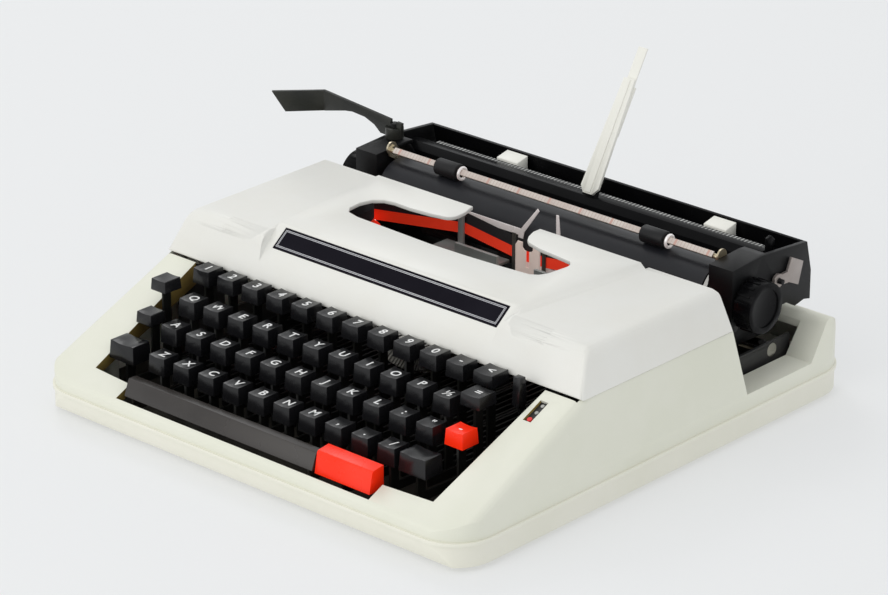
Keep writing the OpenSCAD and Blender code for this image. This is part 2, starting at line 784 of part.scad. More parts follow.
// cuts the bevel for the badge through the front of the raised panel
module bevel_cut(t) {
    far = [badge_y, badge_z] + 30 * badge_run - [0, t / cos(badge_angle)];
    near = [badge_y, badge_z] - 12 * badge_run - [0, t / cos(badge_angle)];
    along_x(-body_w / 2, body_w / 2) polygon([near, far, [far[0], 130], [near[0], 130]]);
}

panel_lean = 50;
panel_side_angle = atan((panel_rear_half - panel_front_half) / (cover_rear_y - 107));

// the raised panel is wider at the back and its sides slope outwards
module panel(t) difference() {
    along_z(cover_z - 9, panel_top - t)
        translate([-panel_rear_half - 20, 107 + t])
            square([2 * panel_rear_half + 40, cover_rear_y - 111 + 2 * t]);
    both_sides() translate([panel_front_half - t, 107, panel_top]) rotate([0, 0, -panel_side_angle])
        rotate([0, -panel_lean, 0]) translate([0, -30, -30]) cube([60, 180, 60]);
}

module cover_solid(t) difference() {
    union() {
        intersection() {
            along_x(-body_w / 2, body_w / 2) polygon(cover_side(t, cover_z));
            along_y(90, body_d) polygon(cover_cross(t, cover_z));
        }
        panel(t);
    }
    intersection() {
        bevel_cut(t);
        along_y(90, 140) polygon([[-bevel_low - t, 70], [bevel_low + t, 70],
            [bevel_high + t, 98], [-bevel_high - t, 98]]);
    }
}

module ribbon_cover() color([0.93, 0.92, 0.88]) place() {
    difference() {
        cover_solid(0);
        cover_solid(cover_t);
        along_z(60, 120) mouth();
        translate([0, badge_y, badge_z]) rotate([badge_angle, 0, 0])
            translate([-badge_len / 2 - 0.1, -0.1, -badge_t]) cube([badge_len + 0.2, badge_wid + 0.2, 10]);
    }
    both_sides() at_pegs() {
        translate([0, 0, seam_z - 7.5]) cylinder(d = peg_d, h = 10);
        block([-3, -3, seam_z + 1.5], [seam_half - peg_x - 2.7, 3, seam_z + 5.5]);
    }
}

module badge_plate() color([0.08, 0.08, 0.12]) place()
    translate([0, badge_y, badge_z]) rotate([badge_angle, 0, 0])
        translate([-badge_len / 2, 0, -badge_t]) cube([badge_len, badge_wid, badge_t]);

module housing_side() difference() {
    along_x(side_x, side_x + side_t) polygon([[housing_front, housing_low], [housing_front, 89.3],
        [267, 90.7], [307, 87.2], [311.3, 69.1], [311.2, 51.9], [305.7, 53.2], [297.7, 51.6], [290, 56]]);
    bar_x(side_x - past, side_x + side_t + past, platen_y, print_z, shaft_d + 2 * run_gap);
}

module carriage_frame() color([0.12, 0.12, 0.12]) place() {
    block([-bracket_x - side_t, 246, bed_z], [bracket_x + side_t, 292, bed_z + bed_t]);
    difference() {
        both_sides() block([runner_in, 245, 22.5], [runner_in + runner_len, 291, bed_z + 1]);
        block([-40, 258.5, 20], [40, 277.5, bed_z]);
        for (y = [rail_front_y, rail_rear_y])
            bar_x(-40, 40, y, rail_z, rail_d + 2 * run_gap);
    }
    both_sides() {
        housing_side();
        difference() {
            along_x(bracket_x, bracket_x + side_t) polygon([[242, 50], [246, bed_z], [292, bed_z], [292, 52],
                [274.9, 54], [277.2, 78], [270, 88], [242, 88]]);
            bar_x(bracket_x - past, bracket_x + side_t + past, platen_y, print_z, shaft_d + 2 * run_gap);
            bar_x(bracket_x - past, bracket_x + side_t + past, feed_y, feed_z, feed_rod_d + 2 * run_gap);
            bar_x(bracket_x - past, bracket_x + side_t + past, bail_pivot_y, bail_pivot_z,
                bail_pin_d + 2 * run_gap);
        }
        block([bracket_x, housing_front, housing_low], [side_x + side_t, housing_front + 2, 89]);
        along_x(bracket_x, side_x + side_t) polygon([[housing_front, 87.2], [housing_rear, 88.2],
            [housing_rear, 90.2], [267, 90.7], [housing_front, 89.3]]);
        block([86, 281, bed_z + 1], [94, 289, table_low]);
    }
    translate([lever_x, lever_y, 88]) cylinder(d = lever_pin_d, h = 12);
    bar_x(127, side_x + 1, paper_release_y, paper_release_z, 3);
    bar_x(side_x + 1, side_x + 8, release_y, release_z, 3);
}

module paper_table() color([0.1, 0.1, 0.1]) place() {
    difference() {
        along_x(-table_half + air, table_half - air) polygon([[289, 84.5], [283, 84.5], [279, 81],
            [275.5, table_low], [311.3, table_low], [311.3, 69.1], [307.1, 87.2], [304.8, 87.2], [308.8, 69],
            [308.8, table_low + table_t], [278.2, table_low + table_t], [281.5, 79.5], [284, 82.2],
            [289, 82.2]]);
        block([127, 270, 56], [table_half, 303, 90]);
    }
    translate([arm_x, arm_y, arm_z]) rotate([-arm_lean, 0, 0]) difference() {
        union() {
            block([-5, 1.3, -9], [5, 3.6, 5]);
            rotate([90, 0, 0]) translate([0, 0, -3]) cylinder(d = 4, h = 3.1);
        }
    }
}

module margin_rack() color([0.15, 0.15, 0.15]) place() {
    block([-122, rack_y, rack_z], [122, rack_y + rack_t, rack_z + rack_h]);
    both_sides() block([119.5, rack_y, table_low + table_t], [122, rack_y + rack_t, rack_z + 1]);
}

module margin_stop() along_x(-stop_wid / 2, stop_wid / 2) polygon([[293.8, 85], [303.5, 87], [303.5, 74],
    [289, 74], [289, 78.1], [293.8, 78.1]]);

module margin_stop_left() color([0.9, 0.88, 0.8]) place() translate([stop_left_x, 0, 0]) margin_stop();

module margin_stop_right() color([0.9, 0.88, 0.8]) place() translate([stop_right_x, 0, 0]) margin_stop();

module feed_rollers() color([0.2, 0.2, 0.2]) place() {
    bar_x(-bracket_x - side_t, bracket_x + side_t, feed_y, feed_z, feed_rod_d);
    for (x = [-90, -30, 30, 90]) bar_x(x - 14, x + 14, feed_y, feed_z, 2 * feed_r);
}

module platen() color([0.15, 0.15, 0.16]) place() {
    bar_x(-platen_half, platen_half, platen_y, print_z, 2 * platen_r);
    bar_x(-shaft_end, shaft_end, platen_y, print_z, shaft_d);
}

module knob() difference() {
    union() {
        bar_x(142, knob_out, platen_y, print_z, 2 * knob_r);
        for (k = [0 : 17]) translate([142, platen_y, print_z]) rotate([20 * k, 0, 0])
            translate([0, knob_r - 0.4, -0.8]) cube([8.5, 0.9, 1.6]);
    }
    bar_x(141, shaft_end + 0.1, platen_y, print_z, shaft_d + 2 * fit_gap);
    bar_x(knob_out - 1, knob_out + past, platen_y, print_z, 22);
}

module knob_left() color([0.08, 0.08, 0.08]) place() mirror([1, 0, 0]) knob();

module knob_right() color([0.08, 0.08, 0.08]) place() knob();

module line_ratchet() color([0.6, 0.6, 0.6]) place() difference() {
    union() {
        bar_x(-123.4, -120.4, platen_y, print_z, 22);
        for (k = [0 : 23]) translate([-123.4, platen_y, print_z]) rotate([15 * k, 0, 0])
            along_x(0, 3) polygon([[10.6, -1.2], [12.4, 0], [10.6, 1.2]]);
    }
    bar_x(-124, -120, platen_y, print_z, shaft_d + 2 * fit_gap);
}

module paper_bail() color([0.6, 0.55, 0.4]) place() {
    bar_x(-bail_arm_x - bail_arm_t, bail_arm_x + bail_arm_t, bail_y, bail_z, bail_d);
    both_sides() {
        along_x(bail_arm_x, bail_arm_x + bail_arm_t) polygon([[bail_pivot_y + 3, bail_pivot_z - 1],
            [bail_pivot_y + 1.2, bail_pivot_z + 3.6], [bail_y + 2, bail_z + 3], [bail_y - 3, bail_z + 1],
            [bail_y - 2, bail_z - 3], [bail_pivot_y - 4, bail_pivot_z - 1],
            [bail_pivot_y, bail_pivot_z - 3.4]]);
        bar_x(bail_arm_x, bracket_x + side_t, bail_pivot_y, bail_pivot_z, bail_pin_d);
        bar_x(bail_arm_x + bail_arm_t - 0.1, bail_arm_x + bail_arm_t + 1, bail_y + 1, bail_z + 1, 8);
    }
}

module bail_scale() color([0.7, 0.62, 0.6]) place()
    for (x = [[-119, -86], [-68, 68], [86, 119]])
        translate([0, bail_y, bail_z]) rotate([45, 0, 0])
            block([x[0], -3, bail_d / 2], [x[1], 3, bail_d / 2 + 0.8]);

module bail_rollers() color([0.12, 0.12, 0.12]) place() both_sides() difference() {
    bar_x(bail_roller_x - 8, bail_roller_x + 8, bail_y, bail_z, 2 * bail_roller_r);
    bar_x(bail_roller_x - 9, bail_roller_x + 9, bail_y, bail_z, bail_d + 2 * run_gap);
}

module return_lever() color([0.15, 0.15, 0.15]) place() {
    difference() {
        union() {
            translate([lever_x, lever_y, 91]) cylinder(d = 11, h = 6.5);
            along_y(lever_y - lever_plate_t / 2, lever_y + lever_plate_t / 2) polygon([[-126.5, 101],
                [lever_bend_x, 106.6], [lever_bend_x + 1, 94], [-172, 98.2], [-166.3, 99], [-156, 98.2],
                [-148.5, 95.4], [-143.5, 91.4], [-138, 91.2], [-127.5, 91.2]]);
            translate([lever_bend_x, lever_y, 0]) rotate([0, 0, lever_bend])
                along_y(-lever_plate_t / 2, lever_plate_t / 2) polygon([[0.4, 94], [0.4, 106.6],
                    [-lever_tip_len, 105], [-lever_tip_len + 8, 92.5]]);
        }
        translate([lever_x, lever_y, 90]) cylinder(d = lever_pin_d + 2 * run_gap, h = 12);
    }
}

module leaning() {
    translate([arm_x, arm_y, arm_z]) rotate([-arm_lean, 0, 0]) children();
}

module paper_arm() color([0.88, 0.86, 0.8]) place() leaning() difference() {
    union() {
        along_y(-1, 1) polygon([[-3.2, -5.9], [3.2, -5.9], [6.4, -2], [4, arm_len], [-4, arm_len], [-6.4, -2]]);
        along_y(-1.6, -0.9) polygon([[-2, -5], [2, -5], [1.4, arm_len - 1], [-1.4, arm_len - 1]]);
        for (s = [-1, 1]) block([s * 4 - 0.6, 0.9, 30], [s * 4 + 0.6, 2.4, arm_len - 4]);
    }
    rotate([90, 0, 0]) translate([0, 0, -2]) cylinder(d = 4 + 2 * run_gap, h = 2.3);
}

module arm_extension() color([0.85, 0.83, 0.78]) place() leaning()
    block([-3.3, 1.05, 38], [3.3, 2, arm_tip]);

module paper_release_lever() color([0.1, 0.1, 0.1]) place() difference() {
    union() {
        bar_x(129, 131.4, paper_release_y, paper_release_z, 8);
        along_x(129, 131.4) polygon([[paper_release_y - 3, paper_release_z],
            [paper_release_y + 3, paper_release_z], [289, 82], [290, 91], [287, 94], [283.5, 93], [283.5, 82]]);
    }
    bar_x(128, 133, paper_release_y, paper_release_z, 3 + 2 * run_gap);
}

module carriage_release_lever() color([0.55, 0.53, 0.52]) place() difference() {
    union() {
        bar_x(141.2, 143.4, release_y, release_z, 8);
        along_x(141.2, 143.4) polygon([[release_y, release_z - 3], [288, 69.5], [296.5, 65.5], [300.5, 78.5],
            [290.5, 83.5], [287, 76], [release_y, release_z + 3]]);
    }
    bar_x(140, 145, release_y, release_z, 3 + 2 * run_gap);
}

module keycap(x, y, z, wide, deep, h) {
    flare = (cap_base - cap_top) / 2 * h / cap_h;
    difference() {
        intersection() {
            along_x(x - wide / 2, x + wide / 2) polygon([[y - deep / 2, z - h], [y + deep / 2, z - h],
                [y + deep / 2 - flare, z], [y - deep / 2 + flare, z]]);
            along_y(y - deep / 2, y + deep / 2) polygon([[x - wide / 2, z - h], [x + wide / 2, z - h],
                [x + wide / 2 - flare, z], [x - wide / 2 + flare, z]]);
        }
        translate([x, y + deep, z + dish_r - dish_depth]) rotate([90, 0, 0]) cylinder(r = dish_r, h = 2 * deep);
    }
}

// a flat lever from the fulcrum rod to a stem at the depth y that rises to the height z
module key_lever(x, y, z, t = lever_t) difference() {
    front_z = fulcrum_z + (lever_front_z - fulcrum_z) * (fulcrum_y - y) / 180;
    along_x(x - t / 2, x + t / 2) polygon([[fulcrum_y + 5, fulcrum_z + 2], [fulcrum_y + 5, fulcrum_z - 2.5],
        [fulcrum_y - 6, fulcrum_z - 4], [fulcrum_y - 12, fulcrum_z - lever_h / 2],
        [y - stem_w / 2, front_z - lever_h / 2], [y - stem_w / 2, z], [y + stem_w / 2, z],
        [y + stem_w / 2, front_z + lever_h / 2], [fulcrum_y - 12, fulcrum_z + lever_h / 2],
        [fulcrum_y - 3, fulcrum_z + 4.4], [fulcrum_y + 2, fulcrum_z + 4.4]]);
    bar_x(x - t, x + t, fulcrum_y, fulcrum_z, fulcrum_d + 2 * run_gap);
}

module key(x, y, z, wide = cap_base, deep = cap_base, h = cap_h) {
    keycap(x, y, z, wide, deep, h);
    key_lever(x, y, z - h / 2);
}

module key_row(row) for (i = [0 : row_count[row] - 1])
    key(key_x(row, i), row_y[row], row_z[row], h = row == 0 ? 9 : cap_h);

module home_key(i) color([0.13, 0.13, 0.14]) place() key(key_x(2, i), row_y[2], row_z[2]);

module key_a() home_key(0);

module key_s() home_key(1);

module key_d() home_key(2);

module key_f() home_key(3);

module key_g() home_key(4);

module key_h() home_key(5);

module key_j() home_key(6);

module key_k() home_key(7);

module key_l() home_key(8);

module key_colon() home_key(9);

module key_quote() home_key(10);

module number_row_keys() color([0.13, 0.13, 0.14]) place() key_row(0);

module upper_row_keys() color([0.13, 0.13, 0.14]) place() key_row(1);

module bottom_row_keys() color([0.13, 0.13, 0.14]) place() key_row(3);

module space_bar() color([0.1, 0.1, 0.1]) place() {
    along_x(space_left, space_right) polygon([[8, 22], [17, 22], [17, 31.4], [12, 31.4], [11, 30]]);
    for (x = space_arms) key_lever(x, 14.5, 24);
}

module tabulator_bar() color([0.85, 0.15, 0.1]) place() {
    along_x(space_right + 0.5, tab_right)
        polygon([[9.4, 20.5], [20.4, 20.5], [20.4, 34], [12.4, 33], [11.6, 32]]);
    key_lever(tab_arm, 15.5, 25);
}

module shift_keys() color([0.1, 0.1, 0.1]) place() {
    for (k = [shift_left_key, shift_right_key]) {
        key(k[0], k[1], k[2], wide = shift_wide);
        along_x(k[0] - lever_t / 2, k[0] + lever_t / 2) polygon([[link_y - 5, 11], [link_y - 3, link_z - 1.5],
            [link_y + 3, link_z - 1.5], [link_y + 4, 9]]);
    }
    bar_x(shift_left_key[0], shift_right_key[0], link_y, link_z, link_d);
    bar_x(lock_lever_x - 1.4, shift_left_key[0], lock_pin_y, lock_pin_z, lock_pin_d);
}

module shift_lock() color([0.1, 0.1, 0.1]) place() {
    keycap(lock_key[0], lock_key[1], lock_key[2], 12, 12, 7);
    difference() {
        union() {
            bar_x(lock_lever_x - 0.8, lock_lever_x + 0.8, lock_pin_y, lock_pin_z, 8);
            along_x(lock_lever_x - 0.8, lock_lever_x + 0.8) polygon([[lock_pin_y, lock_pin_z - 2.5],
                [lock_key[1] - 3, lock_pin_z - 0.5], [lock_key[1] - 3, lock_key[2] - 4],
                [lock_key[1] + 3, lock_key[2] - 4], [lock_key[1] + 3, lock_pin_z + 3.5],
                [lock_pin_y, lock_pin_z + 2.5]]);
        }
        bar_x(lock_lever_x - 2, lock_lever_x + 2, lock_pin_y, lock_pin_z, lock_pin_d + 2 * run_gap);
    }
}

module backspace_key() color([0.1, 0.1, 0.1]) place() key(back_key[0], back_key[1], back_key[2], h = 7);

module function_key() color([0.1, 0.1, 0.1]) place()
    key(function_key[0], function_key[1], function_key[2], h = 7);

module clear_key() color([0.85, 0.15, 0.1]) place() key(clear_key[0], clear_key[1], clear_key[2], h = 9);

module margin_release_key() color([0.1, 0.1, 0.1]) place()
    key(margin_key[0], margin_key[1], margin_key[2], wide = 11.6, deep = 13, h = 7);

module mainspring_drum() color([0.5, 0.5, 0.5]) place() translate([drum_x, drum_y, 0]) difference() {
    union() {
        translate([0, 0, 5.6]) cylinder(r = drum_r, h = 14);
        translate([0, 0, 5.6]) cylinder(r = drum_r + 1.5, h = 1.2);
        translate([0, 0, 18.4]) cylinder(r = drum_r + 1.5, h = 1.2);
    }
    translate([0, 0, 4]) cylinder(d = 8 + 2 * run_gap, h = 20);
}

module bell() color([0.75, 0.72, 0.6]) place() translate([bell_x, bell_y, 0]) difference() {
    intersection() {
        translate([0, 0, 8]) cylinder(r = bell_r, h = 10);
        translate([0, 0, 18 - 20]) sphere(20);
    }
    intersection() {
        translate([0, 0, 7]) cylinder(r = bell_r - 1.5, h = 9.5);
        translate([0, 0, 18 - 20]) sphere(18.5);
    }
    translate([0, 0, 5]) cylinder(d = 4 + 2 * fit_gap, h = 20);
}

base_pan();
rubber_feet();
body_shell();
case_screws();
main_frame();
carriage_rails();
type_segment();
typebars();
typebar_h();
type_guide();
card_holder();
ribbon_vibrator();
ribbon();
ribbon_spool_left();
ribbon_spool_right();
ribbon_selector();
ribbon_cover();
badge_plate();
carriage_frame();
paper_table();
margin_rack();
margin_stop_left();
margin_stop_right();
feed_rollers();
platen();
knob_left();
knob_right();
line_ratchet();
paper_bail();
bail_scale();
bail_rollers();
return_lever();
paper_arm();
arm_extension();
paper_release_lever();
carriage_release_lever();
space_bar();
tabulator_bar();
shift_keys();
shift_lock();
backspace_key();
function_key();
clear_key();
margin_release_key();
mainspring_drum();
bell();
number_row_keys();
upper_row_keys();
bottom_row_keys();
key_a();
key_s();
key_d();
key_f();
key_g();
key_h();
key_j();
key_k();
key_l();
key_colon();
key_quote();
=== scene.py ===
import json
import math

import bpy
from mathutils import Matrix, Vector


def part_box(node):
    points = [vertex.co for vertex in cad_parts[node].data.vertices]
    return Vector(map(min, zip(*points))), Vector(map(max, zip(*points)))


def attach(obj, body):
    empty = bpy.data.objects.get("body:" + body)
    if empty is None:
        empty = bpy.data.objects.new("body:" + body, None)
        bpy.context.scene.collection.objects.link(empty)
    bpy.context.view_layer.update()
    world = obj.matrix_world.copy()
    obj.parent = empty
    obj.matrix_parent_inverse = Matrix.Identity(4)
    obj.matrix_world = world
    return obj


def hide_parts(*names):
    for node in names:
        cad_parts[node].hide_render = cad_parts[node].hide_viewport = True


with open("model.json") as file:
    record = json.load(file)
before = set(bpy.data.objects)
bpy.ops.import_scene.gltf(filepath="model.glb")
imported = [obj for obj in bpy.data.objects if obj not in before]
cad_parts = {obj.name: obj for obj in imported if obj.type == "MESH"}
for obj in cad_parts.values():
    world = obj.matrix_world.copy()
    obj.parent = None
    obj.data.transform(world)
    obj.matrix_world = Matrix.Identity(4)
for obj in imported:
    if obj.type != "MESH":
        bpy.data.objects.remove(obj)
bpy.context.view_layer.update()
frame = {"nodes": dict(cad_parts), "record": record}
bpy.ops.object.select_all(action="DESELECT")
bpy.context.scene.view_settings.view_transform = "Standard"

# The camera stands to the right of the machine, in front of it and above, and looks down at
# the carriage through a long lens, so the sides hardly converge. The machine's measures are
# millimetres from the middle of the pan's front edge, and those of the room are metres.
mm = 0.001
case_low, case_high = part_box("base_pan")
front_edge = Vector(((case_low.x + case_high.x) / 2, case_low.y, case_low.z))


def at(x, y, z):
    return front_edge + Vector((x, y, z)) * mm


camera_turn = math.radians(42.353)
camera_tilt = math.radians(22.839)
camera_distance = 2.2728
aim = at(-29.66, 195.735, 40.0)
camera_data = bpy.data.cameras.new("camera")
camera_data.lens = 163.24
camera_data.sensor_width = 36
camera_data.clip_end = 50
camera = bpy.data.objects.new("camera", camera_data)
bpy.context.collection.objects.link(camera)
camera.location = aim + camera_distance * Vector((
    math.sin(camera_turn) * math.cos(camera_tilt),
    -math.cos(camera_turn) * math.cos(camera_tilt),
    math.sin(camera_tilt),
))
camera.rotation_euler = (aim - camera.location).to_track_quat("-Z", "Y").to_euler()
bpy.context.scene.camera = camera


# The machine stands on a pale matt table that runs out of the picture. The table gives back a
# little light of its own, as a white surface under studio lights seems to.
def new_material(name, color, roughness):
    material = bpy.data.materials.new(name)
    material.use_nodes = True
    shader = material.node_tree.nodes["Principled BSDF"]
    shader.inputs["Base Color"].default_value = (*color, 1)
    shader.inputs["Roughness"].default_value = roughness
    return material, material.node_tree, shader


table_width = 12
bpy.ops.mesh.primitive_plane_add(size=table_width, location=(0, 0, 0))
table_top = bpy.context.object
table_top.name = "table_top"
table_material, _, table_shader = new_material("pale_table", (0.47, 0.475, 0.48), 0.75)
table_shader.inputs["Specular IOR Level"].default_value = 0.1
table_shader.inputs["Emission Color"].default_value = (0.985, 0.995, 1.0, 1)
table_shader.inputs["Emission Strength"].default_value = 0.375
table_top.data.materials.append(table_material)


# Two large soft lights stand in front, one high and one low, and a smaller one shines from
# high on the left over the back of the machine. The room around them is white.
lit_point = Vector((0, 0, 0.05))


def area_light(name, place, size, power, color=(1, 1, 1)):
    light_data = bpy.data.lights.new(name, "AREA")
    light_data.size = size
    light_data.energy = power
    light_data.color = color
    light = bpy.data.objects.new(name, light_data)
    bpy.context.collection.objects.link(light)
    light.location = place
    light.rotation_euler = (lit_point - Vector(place)).to_track_quat("-Z", "Y").to_euler()


warm_white = (1.0, 0.985, 0.95)
area_light("front_soft", (0.1, -1.9, 2.1), 1.6, 9, warm_white)
area_light("low_soft", (-0.4, -2.0, 0.6), 1.6, 8.5, warm_white)
area_light("left_soft", (-1.7, 0.9, 1.9), 0.9, 6.5)
world = bpy.data.worlds.new("room")
bpy.context.scene.world = world
world.use_nodes = True
world.node_tree.nodes["Background"].inputs["Color"].default_value = (0.975, 0.99, 1.0, 1)
world.node_tree.nodes["Background"].inputs["Strength"].default_value = 0.80


# The case is moulded from an off-white plastic with a fine spark-eroded grain. A pan carries the
# frame, and a surround with a deep well for the keys is screwed down on it.
def add_node(tree, kind, **settings):
    node = tree.nodes.new(kind)
    for name, value in settings.items():
        setattr(node, name, value)
    return node


def wire(tree, *links):
    """Makes links in a node tree, each given as a node, its output, the next node and its input."""
    for start, output, end, entry in links:
        tree.links.new(start.outputs[output], end.inputs[entry])


def group_with(name, inputs, outputs):
    group = bpy.data.node_groups.new(name, "ShaderNodeTree")
    for socket_name, kind, value in inputs:
        socket = group.interface.new_socket(socket_name, in_out="INPUT", socket_type=kind)
        socket.default_value = value
    for socket_name, kind in outputs:
        group.interface.new_socket(socket_name, in_out="OUTPUT", socket_type=kind)
    return group, group.nodes.new("NodeGroupInput"), group.nodes.new("NodeGroupOutput")


def add_group(tree, group, **values):
    node = add_node(tree, "ShaderNodeGroup", node_tree=group)
    for name, value in values.items():
        node.inputs[name.replace("_", " ")].default_value = value
    return node


# grain: a bump of fine noise on the object's own coordinates
grain, grain_in, grain_out = group_with(
    "grain",
    [("Scale", "NodeSocketFloat", 900.0), ("Depth", "NodeSocketFloat", 0.1)],
    [("Normal", "NodeSocketVector")],
)
grain_place = add_node(grain, "ShaderNodeTexCoord")
grain_noise = add_node(grain, "ShaderNodeTexNoise")
grain_noise.inputs["Detail"].default_value = 3
grain_bump = add_node(grain, "ShaderNodeBump")
grain_bump.inputs["Distance"].default_value = 0.4 * mm
wire(
    grain,
    (grain_place, "Object", grain_noise, "Vector"),
    (grain_in, "Scale", grain_noise, "Scale"),
    (grain_in, "Depth", grain_bump, "Strength"),
    (grain_noise, "Fac", grain_bump, "Height"),
    (grain_bump, "Normal", grain_out, "Normal"),
)

# blotches: two tones that drift into each other over a few centimetres
blotches, blotches_in, blotches_out = group_with(
    "blotches",
    [
        ("Tone", "NodeSocketColor", (0.8, 0.8, 0.8, 1)),
        ("Other Tone", "NodeSocketColor", (0.7, 0.7, 0.7, 1)),
        ("Scale", "NodeSocketFloat", 20.0),
    ],
    [("Color", "NodeSocketColor"), ("Mask", "NodeSocketFloat")],
)
blotch_place = add_node(blotches, "ShaderNodeTexCoord")
blotch_noise = add_node(blotches, "ShaderNodeTexNoise")
blotch_noise.inputs["Detail"].default_value = 5
blotch_noise.inputs["Roughness"].default_value = 0.6
blotch_range = add_node(blotches, "ShaderNodeMapRange")
blotch_range.inputs["From Min"].default_value = 0.38
blotch_range.inputs["From Max"].default_value = 0.66
blotch_mix = add_node(blotches, "ShaderNodeMix", data_type="RGBA")
mix_share, mix_first, mix_second, mix_result = 0, 6, 7, 2
wire(
    blotches,
    (blotch_place, "Object", blotch_noise, "Vector"),
    (blotches_in, "Scale", blotch_noise, "Scale"),
    (blotch_noise, "Fac", blotch_range, "Value"),
    (blotch_range, "Result", blotch_mix, mix_share),
    (blotches_in, "Tone", blotch_mix, mix_first),
    (blotches_in, "Other Tone", blotch_mix, mix_second),
    (blotch_mix, mix_result, blotches_out, "Color"),
    (blotch_range, "Result", blotches_out, "Mask"),
)


def finish_of(name, tone, other_tone, roughness, blotch_scale=18.0, grain_scale=900.0,
              grain_depth=0.1, spread=0.06, metallic=0.0, shine=0.5):
    """A material of two drifting tones with a fine grain over it."""
    material, tree, shader = new_material(name, tone, roughness)
    shader.inputs["Metallic"].default_value = metallic
    shader.inputs["Specular IOR Level"].default_value = shine
    tones = add_group(tree, blotches, Tone=(*tone, 1), Other_Tone=(*other_tone, 1), Scale=blotch_scale)
    fine = add_group(tree, grain, Scale=grain_scale, Depth=grain_depth)
    gloss = add_node(tree, "ShaderNodeMapRange")
    gloss.inputs["To Min"].default_value = roughness - spread
    gloss.inputs["To Max"].default_value = roughness + spread
    wire(
        tree,
        (tones, "Color", shader, "Base Color"),
        (tones, "Mask", gloss, "Value"),
        (gloss, "Result", shader, "Roughness"),
        (fine, "Normal", shader, "Normal"),
    )
    return material


def alone(piece):
    """Makes a piece the only selected and active one."""
    bpy.ops.object.select_all(action="DESELECT")
    piece.select_set(True)
    bpy.context.view_layer.objects.active = piece


def smooth(piece):
    """Shades a piece smooth, but for its sharp edges."""
    alone(piece)
    bpy.ops.object.shade_smooth_by_angle(angle=math.radians(32))


body_of_node = {
    node: body for body, nodes in frame["record"]["behaviour"]["bodies"].items() for node in nodes
}


def painted(node, material):
    """Gives a CAD node its material."""
    data = frame["nodes"][node].data
    data.materials.clear()
    data.materials.append(material)


def welded(piece, distance, angle):
    """Joins points that lie together and faces that lie in one plane."""
    alone(piece)
    bpy.ops.object.mode_set(mode="EDIT")
    bpy.ops.mesh.select_all(action="SELECT")
    bpy.ops.mesh.remove_doubles(threshold=distance * mm)
    bpy.ops.mesh.dissolve_limited(angle_limit=math.radians(angle))
    bpy.ops.object.mode_set(mode="OBJECT")


def copied(node):
    """A welded copy of a CAD node, to be worked on."""
    piece = bpy.data.objects.new(node + "_rounded", frame["nodes"][node].data.copy())
    bpy.context.collection.objects.link(piece)
    welded(piece, 0.01, 1)
    return piece


def rounded(piece, width, segments=1, marked=False):
    """Rounds the sharp edges of a piece, or only the marked ones."""
    bevel = piece.modifiers.new("rounding", "BEVEL")
    bevel.width = width * mm
    bevel.segments = segments
    bevel.limit_method = "WEIGHT" if marked else "ANGLE"
    bevel.use_clamp_overlap = not marked
    alone(piece)
    bpy.ops.object.modifier_apply(modifier="rounding")


def stand_in(piece, node, material):
    """Puts a finished copy in the place of its CAD node."""
    smooth(piece)
    piece.data.materials.clear()
    piece.data.materials.append(material)
    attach(piece, body_of_node[node])
    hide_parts(node)
    painted(node, material)


def softened(node, material, width, segments=2):
    """Stands in for a CAD node with a copy whose edges are rounded."""
    piece = copied(node)
    rounded(piece, width, segments)
    stand_in(piece, node, material)
    return piece


def paint_faces(piece, material, wanted):
    """Gives a second material to the faces whose middle and normal are wanted."""
    piece.data.materials.append(material)
    index = len(piece.data.materials) - 1
    for face in piece.data.polygons:
        if wanted((face.center - front_edge) / mm, face.normal):
            face.material_index = index


shell_plastic = finish_of("shell_plastic", (0.775, 0.775, 0.675), (0.75, 0.755, 0.645), 0.42,
                          grain_depth=0.05)
# The pan is the surround's plastic, painted a little lighter: painted light for its low front, which the
# lamps reach less.
pan_plastic_lightened = finish_of("pan_plastic_lightened", (0.83, 0.815, 0.72), (0.80, 0.79, 0.685), 0.45, grain_depth=0.05)
well_yellowing_and_shade = finish_of("well_yellowing_and_shade", (0.34, 0.25, 0.07), (0.20, 0.13, 0.03), 0.55, blotch_scale=30)
pan_painted_shade = finish_of("pan_painted_shade", (0.03, 0.028, 0.024), (0.05, 0.045, 0.036), 0.6, shine=0.2)
pan = softened("base_pan", pan_plastic_lightened, 0.6)
pan_middle = 165
pan_half_depth = 160
pan_front_wall = 8
pan_rear_wall = 320
pan_side_wall = 150
pan_depth = 12


def inside_pan(place, normal):
    from_middle = place.y - pan_middle
    inward = normal.x * place.x < -0.5 * abs(place.x) or normal.y * from_middle < -pan_half_depth / 2
    between_walls = abs(place.x) < pan_side_wall and pan_front_wall < place.y < pan_rear_wall
    return between_walls and place.z < pan_depth and (normal.z > 0.6 or inward)


# The pan's floor and the inner faces of its walls get a near-black painted shade, for the dark under the
# keys and the frame.
paint_faces(pan, pan_painted_shade, inside_pan)
shell = softened("body_shell", shell_plastic, 0.9)
deck_slope = 0.445
deck_foot = 19
well_half = 134
well_front = 3
well_rear = 104
well_rim = 1.2


def deck_height(y):
    return deck_foot + deck_slope * y


def in_well(place, normal):
    below_rim = deck_height(place.y) - place.z > well_rim
    between_walls = abs(place.x) < well_half and well_front < place.y < well_rear
    return between_walls and below_rim and abs(normal.z) < 0.6


# The walls of the key well get a dark yellow-brown: the plastic's own yellowing, with painted shade for
# the dark deep in the well.
paint_faces(shell, well_yellowing_and_shade, in_well)


